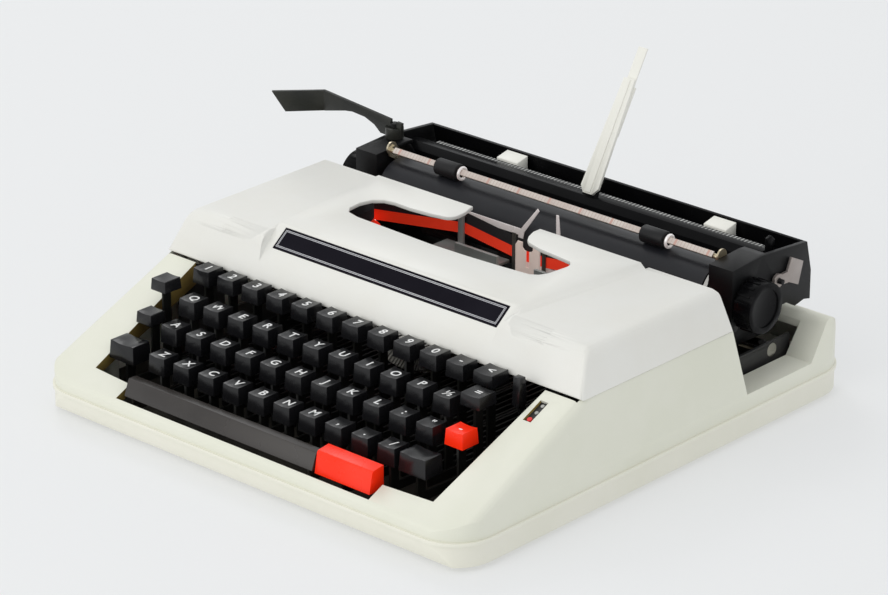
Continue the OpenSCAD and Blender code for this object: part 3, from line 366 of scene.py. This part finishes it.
# The ribbon cover is a moulding of the same plastic with a mouth over the type, and it lifts off
# four pegs. Its front is one round from side to side, with rounded corners.
def profile_bar(name, points, x_from, x_to):
    """A closed bar along X whose cross-section is a list of (y, z) points."""
    bpy.ops.mesh.primitive_plane_add(size=0.01 * mm, location=at(x_from, *points[0]))
    bar = bpy.context.object
    bar.name = name
    bpy.ops.object.mode_set(mode="EDIT")
    bpy.ops.mesh.select_all(action="SELECT")
    bpy.ops.mesh.merge(type="CENTER")
    for start, end in zip(points, points[1:] + points[:1]):
        step = (0, (end[0] - start[0]) * mm, (end[1] - start[1]) * mm)
        bpy.ops.mesh.extrude_region_move(TRANSFORM_OT_translate={"value": step})
    bpy.ops.mesh.select_all(action="SELECT")
    bpy.ops.mesh.remove_doubles(threshold=0.005 * mm)
    bpy.ops.mesh.edge_face_add()
    bpy.ops.mesh.extrude_region_move(TRANSFORM_OT_translate={"value": ((x_to - x_from) * mm, 0, 0)})
    bpy.ops.mesh.select_all(action="SELECT")
    bpy.ops.mesh.normals_make_consistent(inside=False)
    bpy.ops.object.mode_set(mode="OBJECT")
    bpy.ops.object.transform_apply(location=True, rotation=True, scale=True)
    return bar


def combine(piece, other, operation):
    """Adds another solid to a piece, or takes it away, and drops the other."""
    boolean = piece.modifiers.new("combine", "BOOLEAN")
    boolean.operation = operation
    boolean.solver = "EXACT"
    boolean.object = other
    alone(piece)
    bpy.ops.object.modifier_apply(modifier="combine")
    bpy.data.objects.remove(other)


def mark_edges(piece, kept):
    """Marks the sharp edges to be rounded, but none that ends where the piece is kept as it is."""
    if "bevel_weight_edge" in piece.data.attributes:
        piece.data.attributes.remove(piece.data.attributes["bevel_weight_edge"])
    normals = {}
    for face in piece.data.polygons:
        for key in face.edge_keys:
            normals.setdefault(key, []).append(face.normal.copy())
    places = [(vertex.co - front_edge) / mm for vertex in piece.data.vertices]
    weights = piece.data.attributes.new("bevel_weight_edge", "FLOAT", "EDGE")
    for edge in piece.data.edges:
        sides = normals.get(edge.key, [])
        sharp = len(sides) == 2 and sides[0].angle(sides[1], 0) > math.radians(40)
        if sharp and not any(kept(places[end]) for end in edge.vertices):
            weights.data[edge.index].value = 1


cover_plastic = finish_of("cover_plastic", (0.795, 0.79, 0.75), (0.775, 0.765, 0.715), 0.40,
                          grain_depth=0.05)
nose_y = 119.39
nose_z = 76.0
nose_radius = 12.0
nose_rear = 125
nose_foot = 72
corner_from = 122
badge_reach = 84
fill_inner = 90.4
fill_outer = 119.4
shave_reach = 120


def nose_arc(radius):
    """Points of the round at the front of the cover."""
    turns = [math.radians(turn) for turn in (145, 137, 129, 121, 113, 105, 97, 90)]
    return [(nose_y + radius * math.cos(turn), nose_z + radius * math.sin(turn)) for turn in turns]


# under_nose fills the front up to its surface, and above_nose is what is cut off over it
under_nose = [(107.24, 78.6), (108.73, 81.5), *nose_arc(nose_radius - 0.02), (121, 87.98), (121, 79)]
above_nose = [
    (106.38, 77.0), (108.69, 81.5), *nose_arc(nose_radius + 0.03),
    (122.4, 88.03), (127.5, 92.05), (127.5, 100), (100, 100), (100, 77),
]


def off_front_corners(place):
    return place.y > nose_rear or abs(place.x) < corner_from


def beside_badge(place):
    on_nose = place.z > nose_foot or abs(place.x) > corner_from
    return abs(place.x) > badge_reach and place.y < nose_rear + 2 and on_nose


cover = copied("ribbon_cover")
for side in (-1, 1):
    combine(cover, profile_bar("nose_fill", under_nose, side * fill_inner, side * fill_outer), "UNION")
combine(cover, profile_bar("nose_shave", above_nose, -shave_reach, shave_reach), "DIFFERENCE")
welded(cover, 0.05, 1)
mark_edges(cover, off_front_corners)
rounded(cover, 2.4, 4, marked=True)
mark_edges(cover, beside_badge)
rounded(cover, 0.5, 2, marked=True)
stand_in(cover, "ribbon_cover", cover_plastic)

# The ribbon colour indicator is a black slide in a slot of the deck at the right of the keys. It
# shows one red mark and two grey ones.
indicator_black = finish_of("indicator_black", (0.012, 0.012, 0.012), (0.02, 0.02, 0.02), 0.5)
indicator_red = finish_of("indicator_red", (0.8, 0.03, 0.02), (0.7, 0.02, 0.02), 0.4)
indicator_dot = finish_of("indicator_dot", (0.45, 0.45, 0.43), (0.3, 0.3, 0.28), 0.4)
slot_x = 135.2
slot_y = 85.5
slot_depth = 2.6
deck_turn = math.atan(deck_slope)
deck_along = Vector((0, math.cos(deck_turn), math.sin(deck_turn)))
deck_out = Vector((0, -math.sin(deck_turn), math.cos(deck_turn)))
slot_middle = at(slot_x, slot_y, deck_height(slot_y))


def finished(piece, material):
    """Smooths a new piece and gives it its material."""
    smooth(piece)
    piece.data.materials.append(material)


def indicator_part(name, along, size, material):
    """A low oval button that stands on the bottom of the slot."""
    place = slot_middle + (deck_along * along - deck_out * (slot_depth - size[2] / 2)) * mm
    bpy.ops.mesh.primitive_cylinder_add(
        vertices=24, radius=0.5, depth=1, location=place, rotation=(deck_turn, 0, 0)
    )
    part = bpy.context.object
    part.name = name
    part.scale = (size[0] * mm, size[1] * mm, size[2] * mm)
    bpy.ops.object.transform_apply(location=True, rotation=True, scale=True)
    rounded(part, 0.2)
    finished(part, material)
    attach(part, "machine")


indicator_part("indicator_slide", 0, (7.2, 24, 1.0), indicator_black)
indicator_part("indicator_mark_red", -5.6, (3.0, 3.0, 2.2), indicator_red)
indicator_part("indicator_mark_middle", 0.2, (2.2, 2.2, 1.6), indicator_dot)
indicator_part("indicator_mark_black", 5.4, (2.2, 2.2, 1.6), indicator_dot)

# The machine stands on four rubber feet that are pushed into the pan, and four zinc-plated
# screws hold the pan and the surround together.
foot_rubber = finish_of("foot_rubber", (0.03, 0.03, 0.03), (0.045, 0.043, 0.04), 0.8, grain_depth=0.4)
screw_zinc = finish_of("screw_zinc", (0.45, 0.45, 0.43), (0.3, 0.29, 0.27), 0.35, metallic=1.0)
painted("rubber_feet", foot_rubber)
painted("case_screws", screw_zinc)

# The badge is a strip of blue-black enamelled metal with two fine silver lines along its edges,
# glued into a bevel at the front of the raised panel.
badge_enamel = finish_of("badge_enamel", (0.005, 0.004, 0.008), (0.008, 0.007, 0.012), 0.35, shine=0.06)
badge_silver = finish_of("badge_silver", (0.72, 0.72, 0.74), (0.55, 0.55, 0.58), 0.3, metallic=0.7)
painted("badge_plate", badge_enamel)
badge_turn = math.radians(38.1)
badge_length = 166.0
badge_width = 14.0
badge_foot = at(0, 113.1, 80.7)
badge_along = Vector((0, math.cos(badge_turn), math.sin(badge_turn)))
badge_out = Vector((0, -math.sin(badge_turn), math.cos(badge_turn)))
line_width = 0.35
line_height = 0.08


def border_line(name, inset):
    """A closed rectangular line of the badge's silver border."""
    middle = badge_foot + badge_along * badge_width / 2 * mm + badge_out * 0.02 * mm
    bpy.ops.mesh.primitive_plane_add(size=1, location=middle, rotation=(badge_turn, 0, 0))
    line = bpy.context.object
    line.name = name
    line.scale = ((badge_length - 2 * inset) * mm, (badge_width - 2 * inset) * mm, 1)
    bpy.ops.object.transform_apply(location=True, rotation=True, scale=True)
    bpy.ops.object.mode_set(mode="EDIT")
    bpy.ops.mesh.select_all(action="SELECT")
    bpy.ops.mesh.inset(thickness=line_width * mm)
    bpy.ops.mesh.delete(type="FACE")
    bpy.ops.mesh.select_all(action="SELECT")
    bpy.ops.mesh.extrude_region_move(TRANSFORM_OT_translate={"value": badge_out * line_height * mm})
    bpy.ops.mesh.select_all(action="SELECT")
    bpy.ops.mesh.normals_make_consistent(inside=False)
    bpy.ops.object.mode_set(mode="OBJECT")
    line.data.materials.append(badge_silver)
    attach(line, "cover")


border_line("badge_border_outer", 1.3)
border_line("badge_border_inner", 2.0)

# The frame is bent from steel sheet, painted dark and screwed into the pan, with bare grey
# guards in front of the platen. The two carriage rails are ground steel rods.
frame_paint = finish_of("frame_paint", (0.035, 0.035, 0.036), (0.07, 0.066, 0.058), 0.5, metallic=0.3)
rail_steel = finish_of("rail_steel", (0.55, 0.54, 0.52), (0.4, 0.37, 0.33), 0.25, metallic=1.0)
guard_steel = finish_of("guard_steel", (0.42, 0.44, 0.43), (0.26, 0.27, 0.25), 0.45, metallic=0.3)
frame_piece = softened("main_frame", frame_paint, 0.25, 1)
guard_half = 66
guard_front = 205
guard_rear = 236
guard_foot = 24


def on_guards(place, normal):
    return abs(place.x) < guard_half and guard_front < place.y < guard_rear and place.z > guard_foot


paint_faces(frame_piece, guard_steel, on_guards)
painted("carriage_rails", rail_steel)

# The type basket is a slotted steel segment with forty-three typebars on one curved wire,
# each with a slug soldered to its end. A plate with a notch leads every bar to the middle.
segment_steel = finish_of("segment_steel", (0.30, 0.30, 0.29), (0.2, 0.19, 0.17), 0.4, metallic=0.9)
bar_steel = finish_of("bar_steel", (0.55, 0.54, 0.51), (0.34, 0.32, 0.28), 0.3,
                      blotch_scale=60, metallic=1.0)
guide_metal = finish_of("guide_metal", (0.86, 0.70, 0.62), (0.74, 0.58, 0.50), 0.38, metallic=0.15)
holder_metal = finish_of("holder_metal", (0.85, 0.83, 0.83), (0.62, 0.58, 0.58), 0.28, metallic=0.3)


def brightened(material, color, strength):
    """Adds a little light of its own to a material that looks too dull."""
    shader = material.node_tree.nodes["Principled BSDF"]
    shader.inputs["Emission Color"].default_value = (*color, 1)
    shader.inputs["Emission Strength"].default_value = strength


brightened(guide_metal, (1.0, 0.86, 0.80), 0.16)
brightened(holder_metal, (1.0, 0.86, 0.80), 0.16)
painted("type_segment", segment_steel)
painted("typebars", bar_steel)
painted("typebar_h", bar_steel)
softened("type_guide", guide_metal, 0.25)
softened("card_holder", holder_metal, 0.15)
painted("ribbon_vibrator", segment_steel)

# The ribbon is a woven band, black above and red below, wound on two spools that stand on
# spindles at the sides of the basket. It drops a little from its posts to the middle.
weave, weave_in, weave_out = group_with(
    "weave", [("Pitch", "NodeSocketFloat", 9000.0)], [("Normal", "NodeSocketVector")]
)
weave_place = add_node(weave, "ShaderNodeTexCoord")
weave_split = add_node(weave, "ShaderNodeSeparateXYZ")
weave_across = add_node(weave, "ShaderNodeMath", operation="ADD")
weave_u = add_node(weave, "ShaderNodeMath", operation="MULTIPLY")
weave_v = add_node(weave, "ShaderNodeMath", operation="MULTIPLY")
weave_wave_u = add_node(weave, "ShaderNodeMath", operation="SINE")
weave_wave_v = add_node(weave, "ShaderNodeMath", operation="SINE")
weave_product = add_node(weave, "ShaderNodeMath", operation="MULTIPLY")
weave_bump = add_node(weave, "ShaderNodeBump")
weave_bump.inputs["Strength"].default_value = 0.5
weave_bump.inputs["Distance"].default_value = 0.2 * mm
wire(
    weave,
    (weave_place, "Object", weave_split, "Vector"),
    (weave_split, "X", weave_across, 0),
    (weave_split, "Y", weave_across, 1),
    (weave_across, "Value", weave_u, 0),
    (weave_in, "Pitch", weave_u, 1),
    (weave_split, "Z", weave_v, 0),
    (weave_in, "Pitch", weave_v, 1),
    (weave_u, "Value", weave_wave_u, 0),
    (weave_v, "Value", weave_wave_v, 0),
    (weave_wave_u, "Value", weave_product, 0),
    (weave_wave_v, "Value", weave_product, 1),
    (weave_product, "Value", weave_bump, "Height"),
    (weave_bump, "Normal", weave_out, "Normal"),
)
ribbon_foot = 62
ribbon_width = 13
ribbon_middle = ribbon_foot + ribbon_width / 2
ribbon_drop = 4.5
drop_inner = 11.2
drop_outer = 48.5
ribbon_material, ribbon_tree, ribbon_shader = new_material("ribbon_fabric", (0.5, 0.03, 0.02), 0.75)
# The ribbon glows a little in its own red and black: painted light that brightens it in the dark mouth of
# the cover.
ribbon_shader.inputs["Emission Strength"].default_value = 0.22
ribbon_place = add_node(ribbon_tree, "ShaderNodeTexCoord")
ribbon_split = add_node(ribbon_tree, "ShaderNodeSeparateXYZ")
ribbon_side = add_node(ribbon_tree, "ShaderNodeMath", operation="SUBTRACT")
ribbon_side.inputs[1].default_value = front_edge.x
ribbon_far = add_node(ribbon_tree, "ShaderNodeMath", operation="ABSOLUTE")
ribbon_rise = add_node(ribbon_tree, "ShaderNodeMapRange")
ribbon_rise.inputs["From Min"].default_value = drop_inner * mm
ribbon_rise.inputs["From Max"].default_value = drop_outer * mm
ribbon_rise.inputs["To Min"].default_value = at(0, 0, ribbon_middle - ribbon_drop).z
ribbon_rise.inputs["To Max"].default_value = at(0, 0, ribbon_middle).z
ribbon_above = add_node(ribbon_tree, "ShaderNodeMath", operation="SUBTRACT")
ribbon_edge = add_node(ribbon_tree, "ShaderNodeMapRange")
ribbon_edge.inputs["From Min"].default_value = -0.15 * mm
ribbon_edge.inputs["From Max"].default_value = 0.15 * mm
ribbon_colors = add_node(ribbon_tree, "ShaderNodeMix", data_type="RGBA")
ribbon_colors.inputs[mix_first].default_value = (1.0, 0.045, 0.012, 1)
ribbon_colors.inputs[mix_second].default_value = (0.010, 0.009, 0.010, 1)
ribbon_threads = add_group(ribbon_tree, weave, Pitch=9000.0)
wire(
    ribbon_tree,
    (ribbon_place, "Object", ribbon_split, "Vector"),
    (ribbon_split, "X", ribbon_side, 0),
    (ribbon_side, "Value", ribbon_far, 0),
    (ribbon_far, "Value", ribbon_rise, "Value"),
    (ribbon_split, "Z", ribbon_above, 0),
    (ribbon_rise, "Result", ribbon_above, 1),
    (ribbon_above, "Value", ribbon_edge, "Value"),
    (ribbon_edge, "Result", ribbon_colors, mix_share),
    (ribbon_colors, mix_result, ribbon_shader, "Base Color"),
    (ribbon_colors, mix_result, ribbon_shader, "Emission Color"),
    (ribbon_threads, "Normal", ribbon_shader, "Normal"),
)
for node in ("ribbon", "ribbon_spool_left", "ribbon_spool_right"):
    painted(node, ribbon_material)

# The keys are double-shot caps on flat steel levers. Every cap has a shallow dish across it and
# rounded edges, and most have a white legend. The lettered caps draw in a little at their sides.
key_black = finish_of("key_black", (0.006, 0.006, 0.007), (0.010, 0.010, 0.011), 0.22,
                      grain_scale=1600, grain_depth=0.04, spread=0.04, shine=0.35)
key_red = finish_of("key_red", (1.0, 0.030, 0.006), (0.98, 0.025, 0.004), 0.30,
                    grain_scale=1600, grain_depth=0.04, shine=0.25)
brightened(key_red, (1.0, 0.03, 0.005), 0.10)
# The levers are dark steel, painted near black: painted shade for the dark under the caps.
shaded_lever_steel = finish_of("shaded_lever_steel", (0.012, 0.012, 0.012), (0.02, 0.02, 0.018), 0.4,
                        metallic=0.3, shine=0.2)
legend_white = finish_of("legend_white", (0.86, 0.86, 0.86), (0.8, 0.8, 0.79), 0.5)
cap_half = 6.9
cap_share = 0.92
key_pitch = 19.05
dish_depth = 0.6
legend_size = 7.8
legend_height = 0.14
letter_cap = 10.5
number_cap = 9
low_cap = 7


def legend(text, middle):
    """A moulded character that stands in the bottom of a key's dish."""
    place = middle - Vector((0, 0, dish_depth - 0.05)) * mm
    bpy.ops.object.text_add(location=place)
    letter = bpy.context.object
    letter.data.body = text
    letter.data.size = legend_size * mm
    letter.data.offset = 0.014 * legend_size * mm
    letter.data.extrude = legend_height * mm
    letter.data.align_x = "CENTER"
    letter.data.align_y = "CENTER"
    bpy.ops.object.convert(target="MESH")
    return letter


def join_pieces(pieces, name):
    bpy.ops.object.select_all(action="DESELECT")
    for piece in pieces:
        piece.select_set(True)
    bpy.context.view_layer.objects.active = pieces[0]
    if len(pieces) > 1:
        bpy.ops.object.join()
    bpy.ops.object.transform_apply(location=True, rotation=True, scale=True)
    joined = bpy.context.object
    joined.name = name
    return joined


def narrowed(piece, middle, skirt):
    """Draws in the sides of the cap around a middle point, from its skirt up."""
    alone(piece)
    for vertex in piece.data.vertices:
        above = vertex.co.z > at(0, 0, skirt).z
        vertex.select = above and abs(vertex.co.x - middle.x) < key_pitch / 2 * mm
    bpy.ops.object.mode_set(mode="EDIT")
    bpy.ops.transform.resize(value=(cap_share, cap_share, 1), center_override=middle)
    bpy.ops.mesh.select_all(action="DESELECT")
    bpy.ops.object.mode_set(mode="OBJECT")


def skirt_below(top, cap_height):
    """The height at which caps of a given top begin, less a hair."""
    return (top - front_edge.z) / mm - cap_height - 0.05


def steel_below(piece, skirt):
    """Colours what lies below the caps of a piece as steel levers, painted near black for a painted shade
    under the caps.
    """
    def on_lever(place, normal):
        return place.z < skirt

    paint_faces(piece, shaded_lever_steel, on_lever)


def dressed_keys(node, material, cap_height, texts):
    """Rounds a key or a row of keys, colours its levers and sets its legends."""
    low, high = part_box(node)
    skirt = skirt_below(high.z, cap_height)
    piece = softened(node, material, 0.7, 3)
    steel_below(piece, skirt)
    alone(piece)
    bpy.ops.object.mode_set(mode="EDIT")
    bpy.ops.mesh.select_mode(type="VERT")
    bpy.ops.mesh.select_all(action="DESELECT")
    bpy.ops.object.mode_set(mode="OBJECT")
    letters = []
    for i, text in enumerate(texts):
        middle = Vector((low.x + (cap_half + i * key_pitch) * mm, low.y + cap_half * mm, high.z))
        letters.append(legend(text, middle))
        if cap_height > low_cap:
            narrowed(piece, middle, skirt)
    if letters:
        marks = join_pieces(letters, node + "_legends")
        marks.data.materials.clear()
        marks.data.materials.append(legend_white)
        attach(marks, body_of_node[node])


dressed_keys("number_row_keys", key_black, number_cap, "1234567890-")
dressed_keys("upper_row_keys", key_black, letter_cap, "QWERTYUIOP½")
dressed_keys("bottom_row_keys", key_black, letter_cap, "ZXCVBNM,./")
home_row = {
    "key_a": "A", "key_s": "S", "key_d": "D", "key_f": "F", "key_g": "G", "key_h": "H", "key_j": "J",
    "key_k": "K", "key_l": "L", "key_colon": ":", "key_quote": "\"",
}
for node, letter in home_row.items():
    dressed_keys(node, key_black, letter_cap, letter)
dressed_keys("backspace_key", key_black, low_cap, "<")
dressed_keys("function_key", key_black, low_cap, "=")
dressed_keys("clear_key", key_red, number_cap, "-")
dressed_keys("margin_release_key", key_black, low_cap, "")
dressed_keys("shift_keys", key_black, letter_cap, "")
dressed_keys("shift_lock", key_black, low_cap, "")

# The space bar is a long moulded cap on steel arms, and the red tabulator bar stands on an arm of
# its own at the right end. The ribbon selector is a small black tab on a thin lever.
bar_black = finish_of("bar_black", (0.024, 0.020, 0.018), (0.034, 0.029, 0.026), 0.24,
                      grain_scale=1600, grain_depth=0.04, shine=0.5)
softened("space_bar", bar_black, 0.8, 3)
tabulator = softened("tabulator_bar", key_red, 0.9, 3)
steel_below(tabulator, skirt_below(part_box("tabulator_bar")[1].z, letter_cap))
softened("ribbon_selector", key_black, 0.3)

# The carriage is a folded steel trough and two side housings in a black crinkle paint, on
# runners that ride on the rails. A smooth black paper table lies behind the platen.
crinkle = finish_of("crinkle_paint", (0.004, 0.004, 0.0045), (0.007, 0.007, 0.0075), 0.42,
                    grain_scale=2600, grain_depth=0.3, spread=0.05, shine=0.16)
smooth_black = finish_of("smooth_black", (0.003, 0.003, 0.0035), (0.005, 0.005, 0.0055), 0.26,
                         grain_depth=0.03, shine=0.07)
softened("carriage_frame", crinkle, 0.5)
softened("paper_table", smooth_black, 0.5)

# The margin rack is a steel strip painted black, with worn white marks at every letter space.
# Two ivory plastic stops slide on it.
ticks, ticks_in, ticks_out = group_with(
    "ticks",
    [
        ("Start", "NodeSocketFloat", 0.0),
        ("Pitch", "NodeSocketFloat", 0.0023),
        ("Width", "NodeSocketFloat", 0.0006),
    ],
    [("Mask", "NodeSocketFloat")],
)
tick_place = add_node(ticks, "ShaderNodeTexCoord")
tick_split = add_node(ticks, "ShaderNodeSeparateXYZ")
tick_from = add_node(ticks, "ShaderNodeMath", operation="SUBTRACT")
tick_phase = add_node(ticks, "ShaderNodeMath", operation="WRAP")
tick_phase.inputs[2].default_value = 0
tick_inside = add_node(ticks, "ShaderNodeMath", operation="LESS_THAN")
wire(
    ticks,
    (tick_place, "Object", tick_split, "Vector"),
    (tick_split, "X", tick_from, 0),
    (ticks_in, "Start", tick_from, 1),
    (tick_from, "Value", tick_phase, 0),
    (ticks_in, "Pitch", tick_phase, 1),
    (tick_phase, "Value", tick_inside, 0),
    (ticks_in, "Width", tick_inside, 1),
    (tick_inside, "Value", ticks_out, "Mask"),
)
letter_space = 2.54
rack_paint, rack_tree, rack_shader = new_material("rack_paint", (0.01, 0.01, 0.01), 0.4)
rack_ticks = add_group(rack_tree, ticks, Start=front_edge.x, Pitch=letter_space * mm, Width=0.9 * mm)
rack_worn = add_group(rack_tree, blotches, Tone=(0.55, 0.55, 0.53, 1), Other_Tone=(0.14, 0.14, 0.13, 1),
                      Scale=160.0)
rack_colors = add_node(rack_tree, "ShaderNodeMix", data_type="RGBA")
rack_colors.inputs[mix_first].default_value = (0.012, 0.012, 0.013, 1)
wire(
    rack_tree,
    (rack_ticks, "Mask", rack_colors, mix_share),
    (rack_worn, "Color", rack_colors, mix_second),
    (rack_colors, mix_result, rack_shader, "Base Color"),
)
painted("margin_rack", rack_paint)
ivory = finish_of("ivory_plastic", (0.86, 0.85, 0.79), (0.83, 0.82, 0.75), 0.42, grain_depth=0.05)
softened("margin_stop_left", ivory, 0.5)
softened("margin_stop_right", ivory, 0.5)

# The platen is a core with a sleeve of ground charcoal rubber and a metal ring at its right end.
# Its moulded knobs and the line ratchet turn with it, and rubber rollers press on it from below.
platen_rubber = finish_of("platen_rubber", (0.013, 0.0135, 0.017), (0.018, 0.0185, 0.022), 0.42,
                          grain_scale=2200, grain_depth=0.12, shine=0.3)
painted("platen", platen_rubber)
platen_y = 255
platen_low, platen_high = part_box("platen")
ring_x = 122.3
ring_radius = 17.9
ring_width = 2.6
bpy.ops.mesh.primitive_cylinder_add(
    vertices=96, radius=ring_radius * mm, depth=ring_width * mm, rotation=(0, math.radians(90), 0),
    location=(at(ring_x, 0, 0).x, at(0, platen_y, 0).y, (platen_low.z + platen_high.z) / 2),
)
end_ring = bpy.context.object
end_ring.name = "platen_end_ring"
bpy.ops.object.transform_apply(location=True, rotation=True, scale=True)
rounded(end_ring, 0.3)
finished(end_ring, rail_steel)
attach(end_ring, body_of_node["platen"])
softened("knob_left", smooth_black, 0.6)
softened("knob_right", smooth_black, 0.6)
painted("line_ratchet", rail_steel)
painted("feed_rollers", foot_rubber)
for node in ("platen", "feed_rollers", "carriage_rails"):
    smooth(frame["nodes"][node])

# The paper bail is an aged brass bar on two arms, with two rubber rollers and a bright collar at
# the right of each. A cream scale is printed on strips between and beside the rollers.
brass = finish_of("aged_brass", (0.66, 0.59, 0.45), (0.42, 0.35, 0.23), 0.32,
                  blotch_scale=80, metallic=0.85)
roller_rubber = finish_of("roller_rubber", (0.010, 0.010, 0.011), (0.016, 0.016, 0.017), 0.5,
                          grain_depth=0.15, shine=0.25)
painted("paper_bail", brass)
softened("bail_rollers", roller_rubber, 0.5)
scale_paint, scale_tree, scale_shader = new_material("scale_paint", (0.62, 0.55, 0.5), 0.42)
scale_pitch = 2.3
scale_ticks = add_group(scale_tree, ticks, Start=front_edge.x, Pitch=scale_pitch * mm, Width=0.5 * mm)
scale_tens = add_group(scale_tree, ticks, Start=front_edge.x, Pitch=10 * scale_pitch * mm, Width=1.6 * mm)
scale_wear = add_group(scale_tree, blotches, Tone=(0.66, 0.60, 0.545, 1),
                       Other_Tone=(0.56, 0.475, 0.43, 1), Scale=90.0)
scale_small = add_node(scale_tree, "ShaderNodeMix", data_type="RGBA")
scale_small.inputs[mix_second].default_value = (0.54, 0.44, 0.39, 1)
scale_large = add_node(scale_tree, "ShaderNodeMix", data_type="RGBA")
scale_large.inputs[mix_second].default_value = (0.58, 0.36, 0.30, 1)
wire(
    scale_tree,
    (scale_wear, "Color", scale_small, mix_first),
    (scale_ticks, "Mask", scale_small, mix_share),
    (scale_small, mix_result, scale_large, mix_first),
    (scale_tens, "Mask", scale_large, mix_share),
    (scale_large, mix_result, scale_shader, "Base Color"),
)
painted("bail_scale", scale_paint)
bail_y = 252
bail_z = 89.3
bail_lean = math.radians(45)
strip_width = 3.6
strip_thickness = 0.8
strip_lift = 1.9
scale_strips = []
for span in ((-119, -86), (-68, 68), (86, 119)):
    middle = at(
        (span[0] + span[1]) / 2,
        bail_y - strip_lift * math.sin(bail_lean),
        bail_z + strip_lift * math.cos(bail_lean),
    )
    bpy.ops.mesh.primitive_cube_add(size=1, location=middle, rotation=(bail_lean, 0, 0))
    bpy.context.object.scale = ((span[1] - span[0]) * mm, strip_width * mm, strip_thickness * mm)
    scale_strips.append(bpy.context.object)
scale_piece = join_pieces(scale_strips, "printed_scale")
scale_piece.data.materials.append(scale_paint)
rounded(scale_piece, 0.15)
collar_radius = 3.4
collar_thickness = 0.9
collars = []
for collar_x in (87.2, -66.8):
    bpy.ops.mesh.primitive_torus_add(
        major_radius=collar_radius * mm, minor_radius=collar_thickness * mm,
        major_segments=32, minor_segments=10,
        location=at(collar_x, bail_y, bail_z), rotation=(0, math.radians(90), 0),
    )
    collars.append(bpy.context.object)
collar_piece = join_pieces(collars, "bail_collars")
finished(collar_piece, holder_metal)
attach(collar_piece, "bail")
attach(scale_piece, "bail")
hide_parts("bail_scale")

# The return lever is a satin black pressing on a stepped hub at the left. The paper arm and its
# slide are ivory plastic, and the release levers sit at the right.
lever_black = finish_of("lever_black", (0.020, 0.021, 0.019), (0.045, 0.045, 0.038), 0.34,
                        metallic=0.4, shine=0.3)
release_metal = finish_of("release_metal", (0.42, 0.38, 0.36), (0.3, 0.26, 0.24), 0.4, metallic=0.6)
softened("return_lever", lever_black, 0.3)
softened("paper_arm", ivory, 0.4)
softened("arm_extension", ivory, 0.25)
softened("paper_release_lever", smooth_black, 0.3)
softened("carriage_release_lever", release_metal, 0.3)

# Behind the platen a flat steel drum with a spring in it pulls the carriage along. A brass bell
# on the frame rings near the end of the line.
painted("mainspring_drum", segment_steel)
painted("bell", brass)
